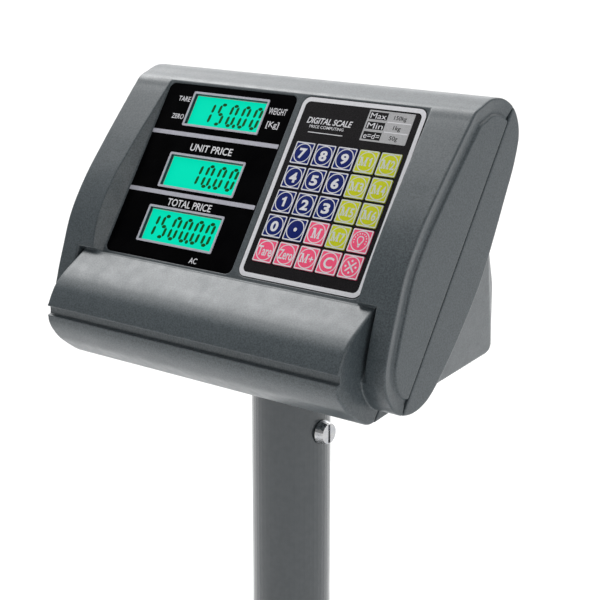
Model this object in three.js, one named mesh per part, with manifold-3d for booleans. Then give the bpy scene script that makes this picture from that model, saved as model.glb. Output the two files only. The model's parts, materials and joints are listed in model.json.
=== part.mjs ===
// A price-computing column scale: a wedge-shaped indicator head that swivels on a round column,
// a column that folds down over its platform, and a weighing deck carried by one load cell.
// Millimetres. X runs to the operator's right, Y away from the operator and Z up.
// The origin is the middle of the footprint, on the floor.

import * as THREE from 'three';
import { ConvexGeometry } from 'three/addons/geometries/ConvexGeometry.js';
import { mergeVertices } from 'three/addons/utils/BufferGeometryUtils.js';
import Module from 'manifold-3d';

const wasm = await Module();
wasm.setup();

// Driving dimensions.
const GAP = 0.3; // clearance between pieces that touch
const WALL = 3; // moulded housing walls
const DECK_WIDTH = 300;
const DECK_LENGTH = 400;
const DECK_Y = -46; // middle of the deck
const COLUMN_Y = 194; // the column's axis
const COLUMN_RADIUS = 25.4; // a 2 inch tube
const HINGE_Z = 145; // height of the folding axis
const HEAD_Z = 615; // height of the head's underside
const FACE_TILT = THREE.MathUtils.degToRad(32.8); // the face leans back from upright
const KEY_PITCH = 16;
const KEY_SIZE = 14.5;

// The head. Its frame stands on the column's axis at the head's underside.
const HEAD_HALF = 133.5;
const BAR_HALF = 116.8; // half length of the bar below the face
const CHEEK_INSIDE = 119.2; // the cheeks start here beside the bar
const RECESS_HALF = 103.2; // half width of the recess floor that holds display and keypad
const RECESS_FLARE = 0.47; // the recess widens by this much for each millimetre of height
const CHANNEL_WIDTH = 9.6; // a shallow channel runs round each cheek's side panel
const CHANNEL_DEPTH = 1.4;
const FACE_Y = -14; // the face frame's origin: the top line of the first row of keys
const FACE_Z = 127;
const FACE_TOP = 31.2; // ends of the flat face, along its slope
const FACE_BOTTOM = -92.5;
const SPLIT_DEPTH = 33; // the housings part this far behind the face
const BACK_Y = 50; // the upright back wall

const COLOURS = {
  housing: 0x6f777b,
  column: 0x7c8488,
  black: 0x0b0c0d,
  lcd: 0x18d8b0,
  board: 0x1f5a34,
  steel: 0xb9bcc0,
  rubber: 0x1c1c1c,
  frame: 0x4c5357,
  aluminium: 0xc9ccd0,
  glass: 0xb8d890,
  battery: 0x2b2d31,
  navy: 0x1b2f86,
  lime: 0xcdd63a,
  pink: 0xef6f8f,
};

// ---- Shapes and solids ----

function toSolid(geometry) {
  const bare = geometry.index ? geometry.toNonIndexed() : geometry.clone();
  bare.deleteAttribute('normal');
  bare.deleteAttribute('uv');
  const merged = mergeVertices(bare, 1e-4);
  const mesh = new wasm.Mesh({
    numProp: 3,
    vertProperties: merged.attributes.position.array,
    triVerts: new Uint32Array(merged.index.array),
  });
  return new wasm.Manifold(mesh);
}

function toGeometry(solid) {
  const mesh = solid.getMesh();
  const positions = new THREE.BufferAttribute(new Float32Array(mesh.vertProperties), 3);
  const geometry = new THREE.BufferGeometry();
  geometry.setAttribute('position', positions);
  geometry.setIndex(new THREE.BufferAttribute(new Uint32Array(mesh.triVerts), 1));
  geometry.computeVertexNormals();
  return geometry;
}

const union = (...solids) => solids.reduce((whole, next) => whole.add(next));
const without = (solid, ...cuts) => cuts.reduce((rest, cut) => rest.subtract(cut), solid);

function blockGeometry(low, high) {
  const size = high.map((value, i) => value - low[i]);
  const middle = high.map((value, i) => (value + low[i]) / 2);
  return new THREE.BoxGeometry(...size).translate(...middle);
}

const block = (low, high) => toSolid(blockGeometry(low, high));

const CYLINDER_AXIS = new THREE.Vector3(0, 1, 0);

// A round rod between two points; sides sets how finely it is faceted.
function rod(radius, from, to, sides = 24, endRadius = radius) {
  const start = new THREE.Vector3(...from);
  const along = new THREE.Vector3(...to).sub(start);
  const geometry = new THREE.CylinderGeometry(endRadius, radius, along.length(), sides);
  const turn = new THREE.Quaternion().setFromUnitVectors(CYLINDER_AXIS, along.clone().normalize());
  geometry.applyQuaternion(turn);
  geometry.translate(...start.add(along.multiplyScalar(0.5)).toArray());
  return toSolid(geometry);
}

function roundedRectangle(left, bottom, right, top, radius) {
  const shape = new THREE.Shape();
  shape.absarc(right - radius, top - radius, radius, 0, Math.PI / 2);
  shape.absarc(left + radius, top - radius, radius, Math.PI / 2, Math.PI);
  shape.absarc(left + radius, bottom + radius, radius, Math.PI, 1.5 * Math.PI);
  shape.absarc(right - radius, bottom + radius, radius, 1.5 * Math.PI, 2 * Math.PI);
  return shape;
}

// A plate of the shape's outline from z = low to z = high.
function plateGeometry(shape, low, high, curveSegments = 3) {
  const depth = high - low;
  const geometry = new THREE.ExtrudeGeometry(shape, { depth, bevelEnabled: false, curveSegments });
  return geometry.translate(0, 0, low);
}

const plate = (shape, low, high) => toSolid(plateGeometry(shape, low, high));

// Turns a plate drawn in Y and Z so that its thickness runs along X.
const SIDEWAYS = new THREE.Matrix4().makeBasis(
  new THREE.Vector3(0, 1, 0),
  new THREE.Vector3(0, 0, 1),
  new THREE.Vector3(1, 0, 0),
);

// A bar with the side outline [y, z], from x = left to x = right, with both ends chamfered.
function sidewaysBar(outline, left, right, chamfer = 0) {
  const points = () => outline.map(([y, z]) => new THREE.Vector2(y, z));
  const shape = outline instanceof THREE.Shape ? outline : new THREE.Shape(points());
  const geometry = new THREE.ExtrudeGeometry(shape, {
    depth: right - left - 2 * chamfer,
    bevelEnabled: chamfer > 0,
    bevelSegments: 1,
    bevelSize: chamfer,
    bevelOffset: -chamfer,
    bevelThickness: chamfer,
  });
  geometry.translate(0, 0, left + chamfer);
  return toSolid(geometry.applyMatrix4(SIDEWAYS));
}

// A solid skinned over outlines [y, z] with equal counts of points, each at its own x, with flat ends.
function loft(sections) {
  const count = sections[0].outline.length;
  const points = sections.flatMap(({ outline, x }) => outline.map(([y, z]) => [x, y, z]));
  const flatEnd = ({ outline }) => {
    return THREE.ShapeUtils.triangulateShape(outline.map(([y, z]) => new THREE.Vector2(y, z)), []);
  };
  const triangles = flatEnd(sections[0]).map(([a, b, c]) => [c, b, a]);
  for (let s = 0; s < sections.length - 1; s += 1) {
    for (let i = 0; i < count; i += 1) {
      const a = s * count + i;
      const b = s * count + ((i + 1) % count);
      triangles.push([a, b, b + count], [a, b + count, a + count]);
    }
  }
  const last = (sections.length - 1) * count;
  triangles.push(...flatEnd(sections.at(-1)).map((triangle) => triangle.map((i) => i + last)));
  const geometry = new THREE.BufferGeometry();
  geometry.setAttribute('position', new THREE.Float32BufferAttribute(points.flat(), 3));
  geometry.setIndex(triangles.flat());
  return toSolid(geometry);
}

// A smooth closed outline through the points.
function smoothOutline(points, steps) {
  const corners = points.map(([y, z]) => new THREE.Vector3(y, z, 0));
  const curve = new THREE.CatmullRomCurve3(corners, true, 'centripetal');
  return curve.getPoints(steps).slice(0, steps).map((point) => [point.x, point.y]);
}

// The outline moved inwards by a distance.
function inset(outline, distance) {
  const count = outline.length;
  return outline.map(([y, z], i) => {
    const [yBefore, zBefore] = outline[(i + count - 1) % count];
    const [yAfter, zAfter] = outline[(i + 1) % count];
    const along = new THREE.Vector2(yAfter - yBefore, zAfter - zBefore).normalize();
    return [y - distance * along.y, z + distance * along.x];
  });
}

// ---- Meshes ----

const scale = new THREE.Group();
const head = new THREE.Group();
head.position.set(0, COLUMN_Y, HEAD_Z);
scale.add(head);

// The face frame: x across, y up the slope, z out of the face.
const face = new THREE.Group();
face.position.set(0, FACE_Y, FACE_Z);
face.rotation.x = Math.PI / 2 - FACE_TILT;
head.add(face);
face.updateMatrix();

function place(group, name, shape, colour, roughness = 0.5, metalness = 0) {
  const geometry = shape.isBufferGeometry ? shape : toGeometry(shape);
  const material = new THREE.MeshStandardMaterial({ color: colour, roughness, metalness });
  const mesh = new THREE.Mesh(geometry, material);
  mesh.name = name;
  group.add(mesh);
  return mesh;
}

// A point of the face frame as [y, z] of the head frame.
function facePoint(up, out) {
  const point = new THREE.Vector3(0, up, out).applyMatrix4(face.matrix);
  return [point.y, point.z];
}

// A block or plate given in the face frame, as a solid in the head frame.
const faceBlock = (low, high) => toSolid(blockGeometry(low, high).applyMatrix4(face.matrix));
const facePlate = (shape, low, high) => toSolid(plateGeometry(shape, low, high).applyMatrix4(face.matrix));

// ---- Head housings ----

const CHEEK_OUTLINE = smoothOutline(
  [
    [20, 159.2], [33, 157.4], [44, 150.2], [49.5, 137], [46, 120], [36, 98], [25, 75], [14, 54],
    [-6, 26.5], [-30, 0], [-41, -8], [-54, -11], [-67.5, -7.5], [-77.5, 5], [-79.6, 18], [-76.2, 33],
    [-71, 49], [-62.8, 71], [-49.8, 92], [-33.2, 112.5], [-12, 136.4], [6, 153.8],
  ].reverse(),
  110,
);

// From the top rim down the face, round the bar with its groove, along the underside and up the back.
const GROOVE_TOP = 19.2;
const GROOVE_BOTTOM = 13.4;
const BAR_FRONT = -100.5;
const GROOVE_Y = BAR_FRONT + 1.6;
const BAR_STEP = 3; // the bar's top stands this far out of the face
const MIDDLE_OUTLINE = [
  [20, 159.2], [8, 155.4], facePoint(FACE_TOP, 0), facePoint(FACE_BOTTOM, 0),
  facePoint(FACE_BOTTOM, BAR_STEP), [-69.5, 49.1], [-78.5, 43.4], [-84, 39.9], [-89, 36.1],
  [-93.8, 31.4], [-96.9, 26.6], [-99, 22.6], [BAR_FRONT, GROOVE_TOP], [GROOVE_Y, GROOVE_TOP - 1.4],
  [GROOVE_Y, GROOVE_BOTTOM + 1.6], [BAR_FRONT, GROOVE_BOTTOM], [-100.2, 9.8], [-98.6, 5.8], [-95.4, 1],
  [-91.8, -3.2], [-87, -7.2], [-82, -10.9], [-76.3, -14.6], [-71.5, -16.4], [-64.6, -16.5], [-50, -14],
  [-40, -6], [-30, 0], [42, 0], [46.5, 1.5], [49, 4.5], [BACK_Y, 9], [BACK_Y, 135], [48.4, 142.4],
  [44, 150.2], [33, 157.4],
];

// The same round, a wall's thickness further in.
const MIDDLE_HOLLOW = [
  [21, 156], facePoint(FACE_TOP - 4, -5), facePoint(FACE_BOTTOM + 1, -5), [-70.5, 44.3], [-83, 36.6],
  [-91, 30], [-95.5, 22], [-95.5, 10], [-91.5, 1.6], [-79, -9], [-71, -13.4], [-64.6, -13.4],
  [-51.4, -11.2], [-40, -2.6], [-30, WALL], [43, WALL], [BACK_Y - WALL, 9], [BACK_Y - WALL, 135],
  [42, 148], [32, 154.3],
];

const BIG = 300; // larger than the head, for half spaces
const inFrontOf = (out) => faceBlock([-BIG, -BIG, out], [BIG, BIG, BIG]);
const behind = (out) => faceBlock([-BIG, -BIG, -BIG], [BIG, BIG, out]);
const bothSides = (make) => union(make(1), make(-1));

// A slice of the solid between two distances from the middle plane, on one side.
function slice(solid, side, from, to) {
  const ends = [side * from, side * to].sort((a, b) => a - b);
  return solid.intersect(block([ends[0], -BIG, -BIG], [ends[1], BIG, BIG]));
}

// Display lens: three windows in a black plate. Keypad overlay: one window for each key.
const LENS = { left: -102.1, right: 4.3, bottom: -89.6, top: 28.8, corner: 4, thickness: 1.6 };
const OVERLAY = { left: 9.9, right: 101.9, bottom: -89, top: 29.6, corner: 5.6, thickness: 1.2 };
const LCD_LEFT = -79.2;
const LCD_RIGHT = -15.7;
const LCD_ROWS = [
  { name: 'weight_lcd', top: 24.3, bottom: 0.5 },
  { name: 'unit_price_lcd', top: -18.6, bottom: -42.4 },
  { name: 'total_price_lcd', top: -55.2, bottom: -79.7 },
];
const KEYS_LEFT = 17.1;
const KEY_ROWS = [
  ['key_7', 'key_8', 'key_9', 'key_m1', 'key_m2'],
  ['key_4', 'key_5', 'key_6', 'key_m3', 'key_m4'],
  ['key_1', 'key_2', 'key_3', 'key_m5', 'key_m6'],
  ['key_0', 'key_point', 'key_m', 'key_m7', 'key_lamp'],
  ['key_tare', 'key_zero', 'key_m_plus', 'key_clear', 'key_multiply'],
];
const KEY_TRAVEL = 0.5;
const KEY_PROUD = 0.4;
const KEY_BACK = -1.8;
const KEY_COLUMNS = KEY_ROWS[0].length;
const KEYS_SPAN = (KEY_COLUMNS - 1) * KEY_PITCH + KEY_SIZE;

function panelShape(panel, grow = 0) {
  const { left, bottom, right, top, corner } = panel;
  return roundedRectangle(left - grow, bottom - grow, right + grow, top + grow, corner + grow);
}

// The space in front of the flat face, between its flared side walls.
function recess() {
  const height = 60;
  const wide = RECESS_HALF + RECESS_FLARE * height;
  const section = new THREE.Shape();
  section.moveTo(-RECESS_HALF, 0);
  section.lineTo(RECESS_HALF, 0);
  section.lineTo(wide, height);
  section.lineTo(-wide, height);
  const length = FACE_TOP - FACE_BOTTOM;
  const geometry = plateGeometry(section, -length, 0).rotateX(Math.PI / 2).translate(0, FACE_BOTTOM, 0);
  return toSolid(geometry.applyMatrix4(face.matrix));
}

// The cheeks' outline across the head. From the panel on each side outwards there is the edge of the
// panel, the channel and the rim.
function cheekBar() {
  const steps = [
    [CHANNEL_WIDTH + 0.7, HEAD_HALF],
    [CHANNEL_WIDTH, HEAD_HALF - CHANNEL_DEPTH],
    [0.6, HEAD_HALF],
    [0, HEAD_HALF - 0.6],
  ];
  const left = steps.map(([inFromRim, x]) => ({ outline: inset(CHEEK_OUTLINE, inFromRim), x: -x }));
  const right = left.map(({ outline, x }) => ({ outline, x: -x })).reverse();
  return loft([...left, ...right]);
}

function frontHousing() {
  const across = cheekBar();
  const cheeks = bothSides((side) => slice(across, side, CHEEK_INSIDE, HEAD_HALF + 1));
  const filling = bothSides((side) => slice(across, side, RECESS_HALF - 1, CHEEK_INSIDE + 1));
  const besideFace = filling.intersect(faceBlock([-BIG, FACE_BOTTOM, -BIG], [BIG, BIG, BIG]));
  const strips = bothSides((side) => slice(across, side, BAR_HALF - 1, CHEEK_INSIDE + 1));
  const besideBar = strips.intersect(behind(-8));
  const middle = sidewaysBar(MIDDLE_OUTLINE, -BAR_HALF, BAR_HALF);
  const whole = union(middle, cheeks, besideFace, besideBar).intersect(inFrontOf(-SPLIT_DEPTH));
  const outside = whole.subtract(recess());
  const betweenCheeks = sidewaysBar(inset(CHEEK_OUTLINE, WALL), WALL - HEAD_HALF, HEAD_HALF - WALL);
  const wideHollow = betweenCheeks.intersect(behind(-11));
  const barHollow = sidewaysBar(MIDDLE_HOLLOW, -BAR_HALF + WALL, BAR_HALF - WALL);
  const lensPocket = facePlate(panelShape(LENS, GAP), -LENS.thickness - GAP, 10);
  const overlayPocket = facePlate(panelShape(OVERLAY, GAP), -OVERLAY.thickness - GAP, 10);
  const lcdHoles = LCD_ROWS.map((row) => {
    return faceBlock([LCD_LEFT - 1, row.bottom - 1, -20], [LCD_RIGHT + 1, row.top + 1, 5]);
  });
  const keysRight = KEYS_LEFT + KEYS_SPAN;
  const keyHole = faceBlock([KEYS_LEFT - 1.5, -KEYS_SPAN - 1.5, -20], [keysRight + 1.5, 1.5, 5]);
  return without(outside, wideHollow, barHollow, lensPocket, overlayPocket, ...lcdHoles, keyHole);
}

const BATTERY_DOOR = { left: -108, right: -32, front: -10, back: 42 };
const SWITCH = { x: 72, y: 0, halfLength: 10.5, halfWidth: 7.5, depth: 18 };
const INLET = { x: 95, z: 22, halfWidth: 13, halfHeight: 9, depth: 20 };
const CUSTOMER = { halfWidth: 84, bottom: 42, top: 118, corner: 5, thickness: 1.6 };
const STUB_RADIUS = 22.8;
const SHELL_CHAMFER = 2.5;

// A plate drawn in X and Z, from y = front to y = back.
function backPlate(shape, front, back, curveSegments = 3) {
  const geometry = plateGeometry(shape, -back, -front, curveSegments);
  return toSolid(geometry.rotateX(Math.PI / 2));
}

// The outline of the display window on the customer's side.
function customerShape(grow = 0) {
  const { halfWidth, bottom, top, corner } = CUSTOMER;
  return roundedRectangle(-halfWidth - grow, bottom - grow, halfWidth + grow, top + grow, corner + grow);
}

// Behind the cheeks the housing narrows towards the back wall and towards the top.
function bulge(corners) {
  const bothEnds = corners.flatMap(([x, y, z]) => [[x, y, z], [-x, y, z]]);
  return toSolid(new ConvexGeometry(bothEnds.map((corner) => new THREE.Vector3(...corner))));
}

const BULGE_CORNERS = [
  [132, -31, 0], [132, 22, 71], [119, 43, 0], [119, 46.5, 1.5], [118.6, 49, 4.5], [118.4, BACK_Y, 9],
  [118, BACK_Y, 40], [112, BACK_Y, 72], [104, BACK_Y, 135], [103.6, 48.4, 142.4], [103, 44, 149],
];
const BULGE_HOLLOW = [
  [129, -26, WALL], [129, 20, 66], [116, 43, WALL], [115.2, BACK_Y - WALL, 9], [115, BACK_Y - WALL, 40],
  [109, BACK_Y - WALL, 71], [101, BACK_Y - WALL, 134], [100, 42, 146],
];

function rearHousing() {
  const shell = sidewaysBar(CHEEK_OUTLINE, -HEAD_HALF, HEAD_HALF, SHELL_CHAMFER);
  const underside = sidewaysBar(MIDDLE_OUTLINE, -BAR_HALF, BAR_HALF).intersect(inFrontOf(-73));
  const outside = union(shell, underside, bulge(BULGE_CORNERS)).intersect(behind(-SPLIT_DEPTH - GAP));
  const wideHollow = sidewaysBar(inset(CHEEK_OUTLINE, WALL), -HEAD_HALF + WALL, HEAD_HALF - WALL);
  const bulgeHollow = union(sidewaysBar(MIDDLE_HOLLOW, -100, 100), bulge(BULGE_HOLLOW));
  const { left, right, front, back } = BATTERY_DOOR;
  const door = block([left, front, -5], [right, back, WALL + 2]);
  const switchHole = block(
    [SWITCH.x - SWITCH.halfLength + 1, SWITCH.y - SWITCH.halfWidth + 1, -5],
    [SWITCH.x + SWITCH.halfLength - 1, SWITCH.y + SWITCH.halfWidth - 1, WALL + 2],
  );
  const inletHole = block(
    [INLET.x - INLET.halfWidth + 1.5, BACK_Y - 9, INLET.z - INLET.halfHeight + 1.5],
    [INLET.x + INLET.halfWidth - 1.5, BACK_Y + 5, INLET.z + INLET.halfHeight - 1.5],
  );
  const stubHole = rod(STUB_RADIUS + 0.5, [0, 0, -20], [0, 0, WALL + 2], 36);
  const lensPocket = backPlate(customerShape(GAP), BACK_Y - CUSTOMER.thickness - GAP, BACK_Y + 5);
  const lcdHole = block([-76, BACK_Y - 9, CUSTOMER.bottom + 8], [76, BACK_Y + 5, CUSTOMER.top - 8]);
  const holes = [door, switchHole, inletHole, stubHole, lensPocket, lcdHole];
  return without(outside, wideHollow, bulgeHollow, ...holes);
}

place(head, 'front_housing', frontHousing(), COLOURS.housing, 0.5);
place(head, 'rear_housing', rearHousing(), COLOURS.housing, 0.5);

// ---- Display and keypad ----

function displayLens() {
  const shape = panelShape(LENS);
  LCD_ROWS.forEach((row) => {
    shape.holes.push(roundedRectangle(LCD_LEFT, row.bottom, LCD_RIGHT, row.top, 0.5));
  });
  return plateGeometry(shape, -LENS.thickness, 0);
}

place(face, 'display_lens', displayLens(), COLOURS.black, 0.1);

LCD_ROWS.forEach((row) => {
  const lcd = blockGeometry(
    [LCD_LEFT + 0.5, row.bottom + 0.5, -9],
    [LCD_RIGHT - 0.5, row.top - 0.5, -LENS.thickness - 0.6],
  );
  place(face, row.name, lcd, COLOURS.lcd, 0.2);
});

const keyLeft = (column) => KEYS_LEFT + column * KEY_PITCH;
const keyTop = (row) => -row * KEY_PITCH;

function keypadOverlay() {
  const shape = panelShape(OVERLAY);
  KEY_ROWS.forEach((names, row) => {
    names.forEach((name, column) => {
      const left = keyLeft(column) - GAP;
      const top = keyTop(row) + GAP;
      const side = KEY_SIZE + 2 * GAP;
      shape.holes.push(roundedRectangle(left, top - side, left + side, top, 1));
    });
  });
  return plateGeometry(shape, -OVERLAY.thickness, 0, 2);
}

place(face, 'keypad_overlay', keypadOverlay(), COLOURS.black, 0.4);

function keyColour(row, column) {
  if (row === 4) return COLOURS.pink;
  if (row < 3) return column < 3 ? COLOURS.navy : COLOURS.lime;
  return [COLOURS.navy, COLOURS.navy, COLOURS.pink, COLOURS.lime, COLOURS.pink][column];
}

KEY_ROWS.forEach((names, row) => {
  names.forEach((name, column) => {
    const cap = plateGeometry(roundedRectangle(0, -KEY_SIZE, KEY_SIZE, 0, 0.8), KEY_BACK, KEY_PROUD, 2);
    const key = place(face, name, cap, keyColour(row, column), 0.4);
    key.position.set(keyLeft(column), keyTop(row), 0);
  });
});

const BOARD_THICKNESS = 1.6;
const KEYPAD_BOARD_TOP = KEY_BACK - KEY_TRAVEL - GAP;
const MAIN_BOARD_TOP = -14.4;
const keypadBoard = blockGeometry(
  [KEYS_LEFT - 1, -KEYS_SPAN - 1, KEYPAD_BOARD_TOP - BOARD_THICKNESS],
  [KEYS_LEFT + KEYS_SPAN + 1, 1, KEYPAD_BOARD_TOP],
);
place(face, 'keypad_board', keypadBoard, COLOURS.board);
const mainBoard = blockGeometry([-95, -80, MAIN_BOARD_TOP - BOARD_THICKNESS], [95, 15, MAIN_BOARD_TOP]);
place(face, 'main_board', mainBoard, COLOURS.board);
const buzzerShape = new THREE.Shape().absarc(60, 6, 6, 0, 2 * Math.PI);
place(face, 'buzzer', plateGeometry(buzzerShape, MAIN_BOARD_TOP + GAP, -8, 8), COLOURS.black);

// ---- Inside and behind the head ----

place(head, 'battery', blockGeometry([-105, -8, 7], [-35, 38, 101]), COLOURS.battery);
place(head, 'transformer', blockGeometry([32, -2, 60], [92, 37, 100]), COLOURS.frame, 0.5, 0.6);

const batteryCover = blockGeometry(
  [BATTERY_DOOR.left + GAP, BATTERY_DOOR.front + GAP, 0],
  [BATTERY_DOOR.right - GAP, BATTERY_DOOR.back - GAP, WALL - 0.4],
);
place(head, 'battery_cover', batteryCover, COLOURS.housing);

const customerLens = backPlate(customerShape(), BACK_Y - CUSTOMER.thickness, BACK_Y);
place(head, 'customer_lens', customerLens, COLOURS.black, 0.1);
const customerLcd = blockGeometry(
  [-75.5, BACK_Y - 10, CUSTOMER.bottom + 8.5],
  [75.5, BACK_Y - CUSTOMER.thickness - 0.6, CUSTOMER.top - 8.5],
);
place(head, 'customer_lcd', customerLcd, COLOURS.lcd);

// The switch body hangs in the underside by its flange; the rocker pivots in the pocket in its mouth.
const ROCKER = { halfLength: 7.2, halfWidth: 4.2, below: 3.6, above: 2.4 };
const ROCKER_TILT = THREE.MathUtils.degToRad(8);

function switchBody() {
  const { x, y, halfLength, halfWidth, depth } = SWITCH;
  const flange = block([x - halfLength, y - halfWidth, -1.5], [x + halfLength, y + halfWidth, -GAP]);
  const body = block(
    [x - halfLength + 1.4, y - halfWidth + 1.4, -1],
    [x + halfLength - 1.4, y + halfWidth - 1.4, depth],
  );
  const pocket = block([x - 8, y - 4.6, -5], [x + 8, y + 4.6, 4.6]);
  return without(union(flange, body), pocket);
}

place(head, 'power_switch_body', switchBody(), COLOURS.black, 0.4);
const rockerBlock = blockGeometry(
  [-ROCKER.halfLength, -ROCKER.halfWidth, -ROCKER.below],
  [ROCKER.halfLength, ROCKER.halfWidth, ROCKER.above],
);
const rocker = place(head, 'power_rocker', rockerBlock, COLOURS.black, 0.4);
rocker.position.set(SWITCH.x, SWITCH.y, 0);
rocker.rotation.y = ROCKER_TILT;

// A two-pin mains inlet in the back wall, its mouth open to the rear.
function mainsInlet() {
  const { x, z, halfWidth, halfHeight, depth } = INLET;
  const flange = block(
    [x - halfWidth, BACK_Y + GAP, z - halfHeight],
    [x + halfWidth, BACK_Y + 2, z + halfHeight],
  );
  const body = block(
    [x - halfWidth + 2, BACK_Y - depth, z - halfHeight + 2],
    [x + halfWidth - 2, BACK_Y + 1, z + halfHeight - 2],
  );
  const mouthShape = roundedRectangle(x - 8.5, z - 4.5, x + 8.5, z + 4.5, 4.4);
  const mouth = backPlate(mouthShape, BACK_Y - 14, BACK_Y + 5, 5);
  const pins = [-4.3, 4.3].map((offset) => {
    return rod(1.2, [x + offset, BACK_Y - 15, z], [x + offset, BACK_Y - 2, z], 10);
  });
  return union(without(union(flange, body), mouth), ...pins);
}

place(head, 'mains_inlet', mainsInlet(), COLOURS.black, 0.4);

// A plate screwed inside the head, with a tube that plugs into the column and turns in it.
const STUB_LENGTH = 75;
const stubPlate = block([-45, -30, WALL + GAP], [45, 30, 2 * WALL + GAP]);
const stubTube = rod(STUB_RADIUS, [0, 0, -STUB_LENGTH], [0, 0, 2 * WALL + GAP], 36);
const stubBore = rod(STUB_RADIUS - 2.5, [0, 0, -STUB_LENGTH - 1], [0, 0, 10], 36);
place(head, 'swivel_stub', without(union(stubPlate, stubTube), stubBore), COLOURS.steel, 0.4, 0.9);

// ---- Column ----

const column = new THREE.Group();
column.position.set(0, COLUMN_Y, 0);
scale.add(column);

const TUBE_BORE = 23.2;
const TUBE_BOTTOM = HINGE_Z + 23;
const TUBE_TOP = HEAD_Z - 0.6;
const SCREW_Z = HEAD_Z - 60;
const FOOT_HALF = 25;
const FOOT_BELOW = 40; // the foot reaches this far below the hinge pin
const PIN_RADIUS = 6;

const tubeWall = without(
  rod(COLUMN_RADIUS, [0, 0, TUBE_BOTTOM], [0, 0, TUBE_TOP], 48),
  rod(TUBE_BORE, [0, 0, TUBE_BOTTOM - 1], [0, 0, TUBE_TOP + 1], 48),
  rod(4.4, [10, 0, SCREW_Z], [40, 0, SCREW_Z], 16),
);
place(column, 'column_tube', tubeWall, COLOURS.column, 0.3, 0.3);

function columnFoot() {
  const outline = roundedRectangle(-FOOT_HALF, HINGE_Z - FOOT_BELOW, FOOT_HALF, TUBE_BOTTOM - GAP, 6);
  const blockPart = sidewaysBar(outline, -FOOT_HALF, FOOT_HALF);
  const plug = rod(TUBE_BORE - GAP, [0, 0, TUBE_BOTTOM - 5], [0, 0, TUBE_BOTTOM + 45], 36);
  const bore = rod(PIN_RADIUS + GAP, [-50, 0, HINGE_Z], [50, 0, HINGE_Z]);
  return without(union(blockPart, plug), bore);
}

place(column, 'column_foot', columnFoot(), COLOURS.frame, 0.5, 0.4);

// The clamp screw goes through the tube's wall and bears on the stub.
const screwShank = rod(4, [STUB_RADIUS + GAP, 0, SCREW_Z], [COLUMN_RADIUS + 2, 0, SCREW_Z], 16);
const screwHead = rod(8, [COLUMN_RADIUS + 0.5, 0, SCREW_Z], [COLUMN_RADIUS + 6, 0, SCREW_Z], 24, 6.6);
const screwSlot = block([COLUMN_RADIUS + 4, -1, SCREW_Z - 6], [COLUMN_RADIUS + 8, 1, SCREW_Z + 6]);
const clampScrew = without(union(screwShank, screwHead), screwSlot);
place(column, 'head_clamp_screw', clampScrew, COLOURS.steel, 0.3, 1);

// ---- Base ----

const BASE_BOTTOM = 18;
const BASE_TOP = 46;
const BASE_HALF_X = DECK_WIDTH / 2 - 6;
const BASE_HALF_Y = DECK_LENGTH / 2 - 6;
const RAIL = 28; // width of the channel rails
const SHEET = 2;
const FOOT_X = BASE_HALF_X - RAIL / 2;
const FOOT_Y = BASE_HALF_Y - RAIL / 2;
const BRACKET_Z = BASE_BOTTOM + 6 + GAP; // the hinge bracket stands on the tail plate
const EAR_INSIDE = 29;
const EAR_OUTSIDE = EAR_INSIDE + 5;
const CELL = { halfLength: 75, halfWidth: 20, bottom: 30, top: 62 };

const base = new THREE.Group();
base.position.set(0, DECK_Y, 0);
scale.add(base);

function ringBlock(inFromEdge, low, high) {
  const x = BASE_HALF_X - inFromEdge;
  const y = BASE_HALF_Y - inFromEdge;
  return block([-x, -y, low], [x, y, high]);
}

const corners = [[-FOOT_X, -FOOT_Y], [FOOT_X, -FOOT_Y], [-FOOT_X, FOOT_Y], [FOOT_X, FOOT_Y]];

// A rectangle of channel, open downwards, with a nut block in each corner, a beam under the load
// cell's rear end and a tail plate for the column.
function baseFrame() {
  const rails = without(ringBlock(0, BASE_BOTTOM, BASE_TOP), ringBlock(RAIL, 0, 100));
  const channel = without(
    ringBlock(SHEET, 0, BASE_TOP - SHEET),
    ringBlock(RAIL - SHEET, -1, 100),
  );
  const nuts = corners.map(([x, y]) => block([x - 13, y - 13, 34], [x + 13, y + 13, BASE_TOP - 1]));
  const inside = BASE_HALF_X - RAIL + 1;
  const beam = block([-inside, 35, BASE_BOTTOM], [inside, 75, BASE_BOTTOM + 8]);
  const cellPad = block([-20, 40, BASE_BOTTOM + 7], [20, 74, CELL.bottom - GAP]);
  const tailEnd = COLUMN_Y - DECK_Y + 36;
  const tailShape = roundedRectangle(-62, BASE_HALF_Y - RAIL + 1, 62, tailEnd, 12);
  const tail = plate(tailShape, BASE_BOTTOM, BASE_BOTTOM + 6);
  const studHoles = corners.map(([x, y]) => rod(4.5, [x, y, 0], [x, y, 60], 16));
  return without(union(without(rails, channel), ...nuts, beam, cellPad, tail), ...studHoles);
}

place(base, 'base_frame', baseFrame(), COLOURS.frame, 0.5, 0.4);

// An aluminium beam with two joined bores across its middle, where it bends under load.
function loadCell() {
  const { halfLength, halfWidth, bottom, top } = CELL;
  const middle = (bottom + top) / 2;
  const beam = block([-halfWidth, -halfLength, bottom], [halfWidth, halfLength, top]);
  const bores = [-16, 16].map((y) => rod(11, [-30, y, middle], [30, y, middle], 24));
  const slot = block([-30, -16, middle - 6], [30, 16, middle + 6]);
  return without(beam, ...bores, slot);
}

place(base, 'load_cell', loadCell(), COLOURS.aluminium, 0.35, 1);

['front_left', 'front_right', 'rear_left', 'rear_right'].forEach((corner, i) => {
  const [x, y] = corners[i];
  const pad = rod(17, [x, y, 0], [x, y, 7], 32);
  const shoulder = rod(13, [x, y, 6], [x, y, 12], 24, 6);
  const stud = rod(4, [x, y, 5], [x, y, 43], 16);
  place(base, `levelling_foot_${corner}`, union(pad, shoulder, stud), COLOURS.rubber, 0.8);
});

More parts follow.
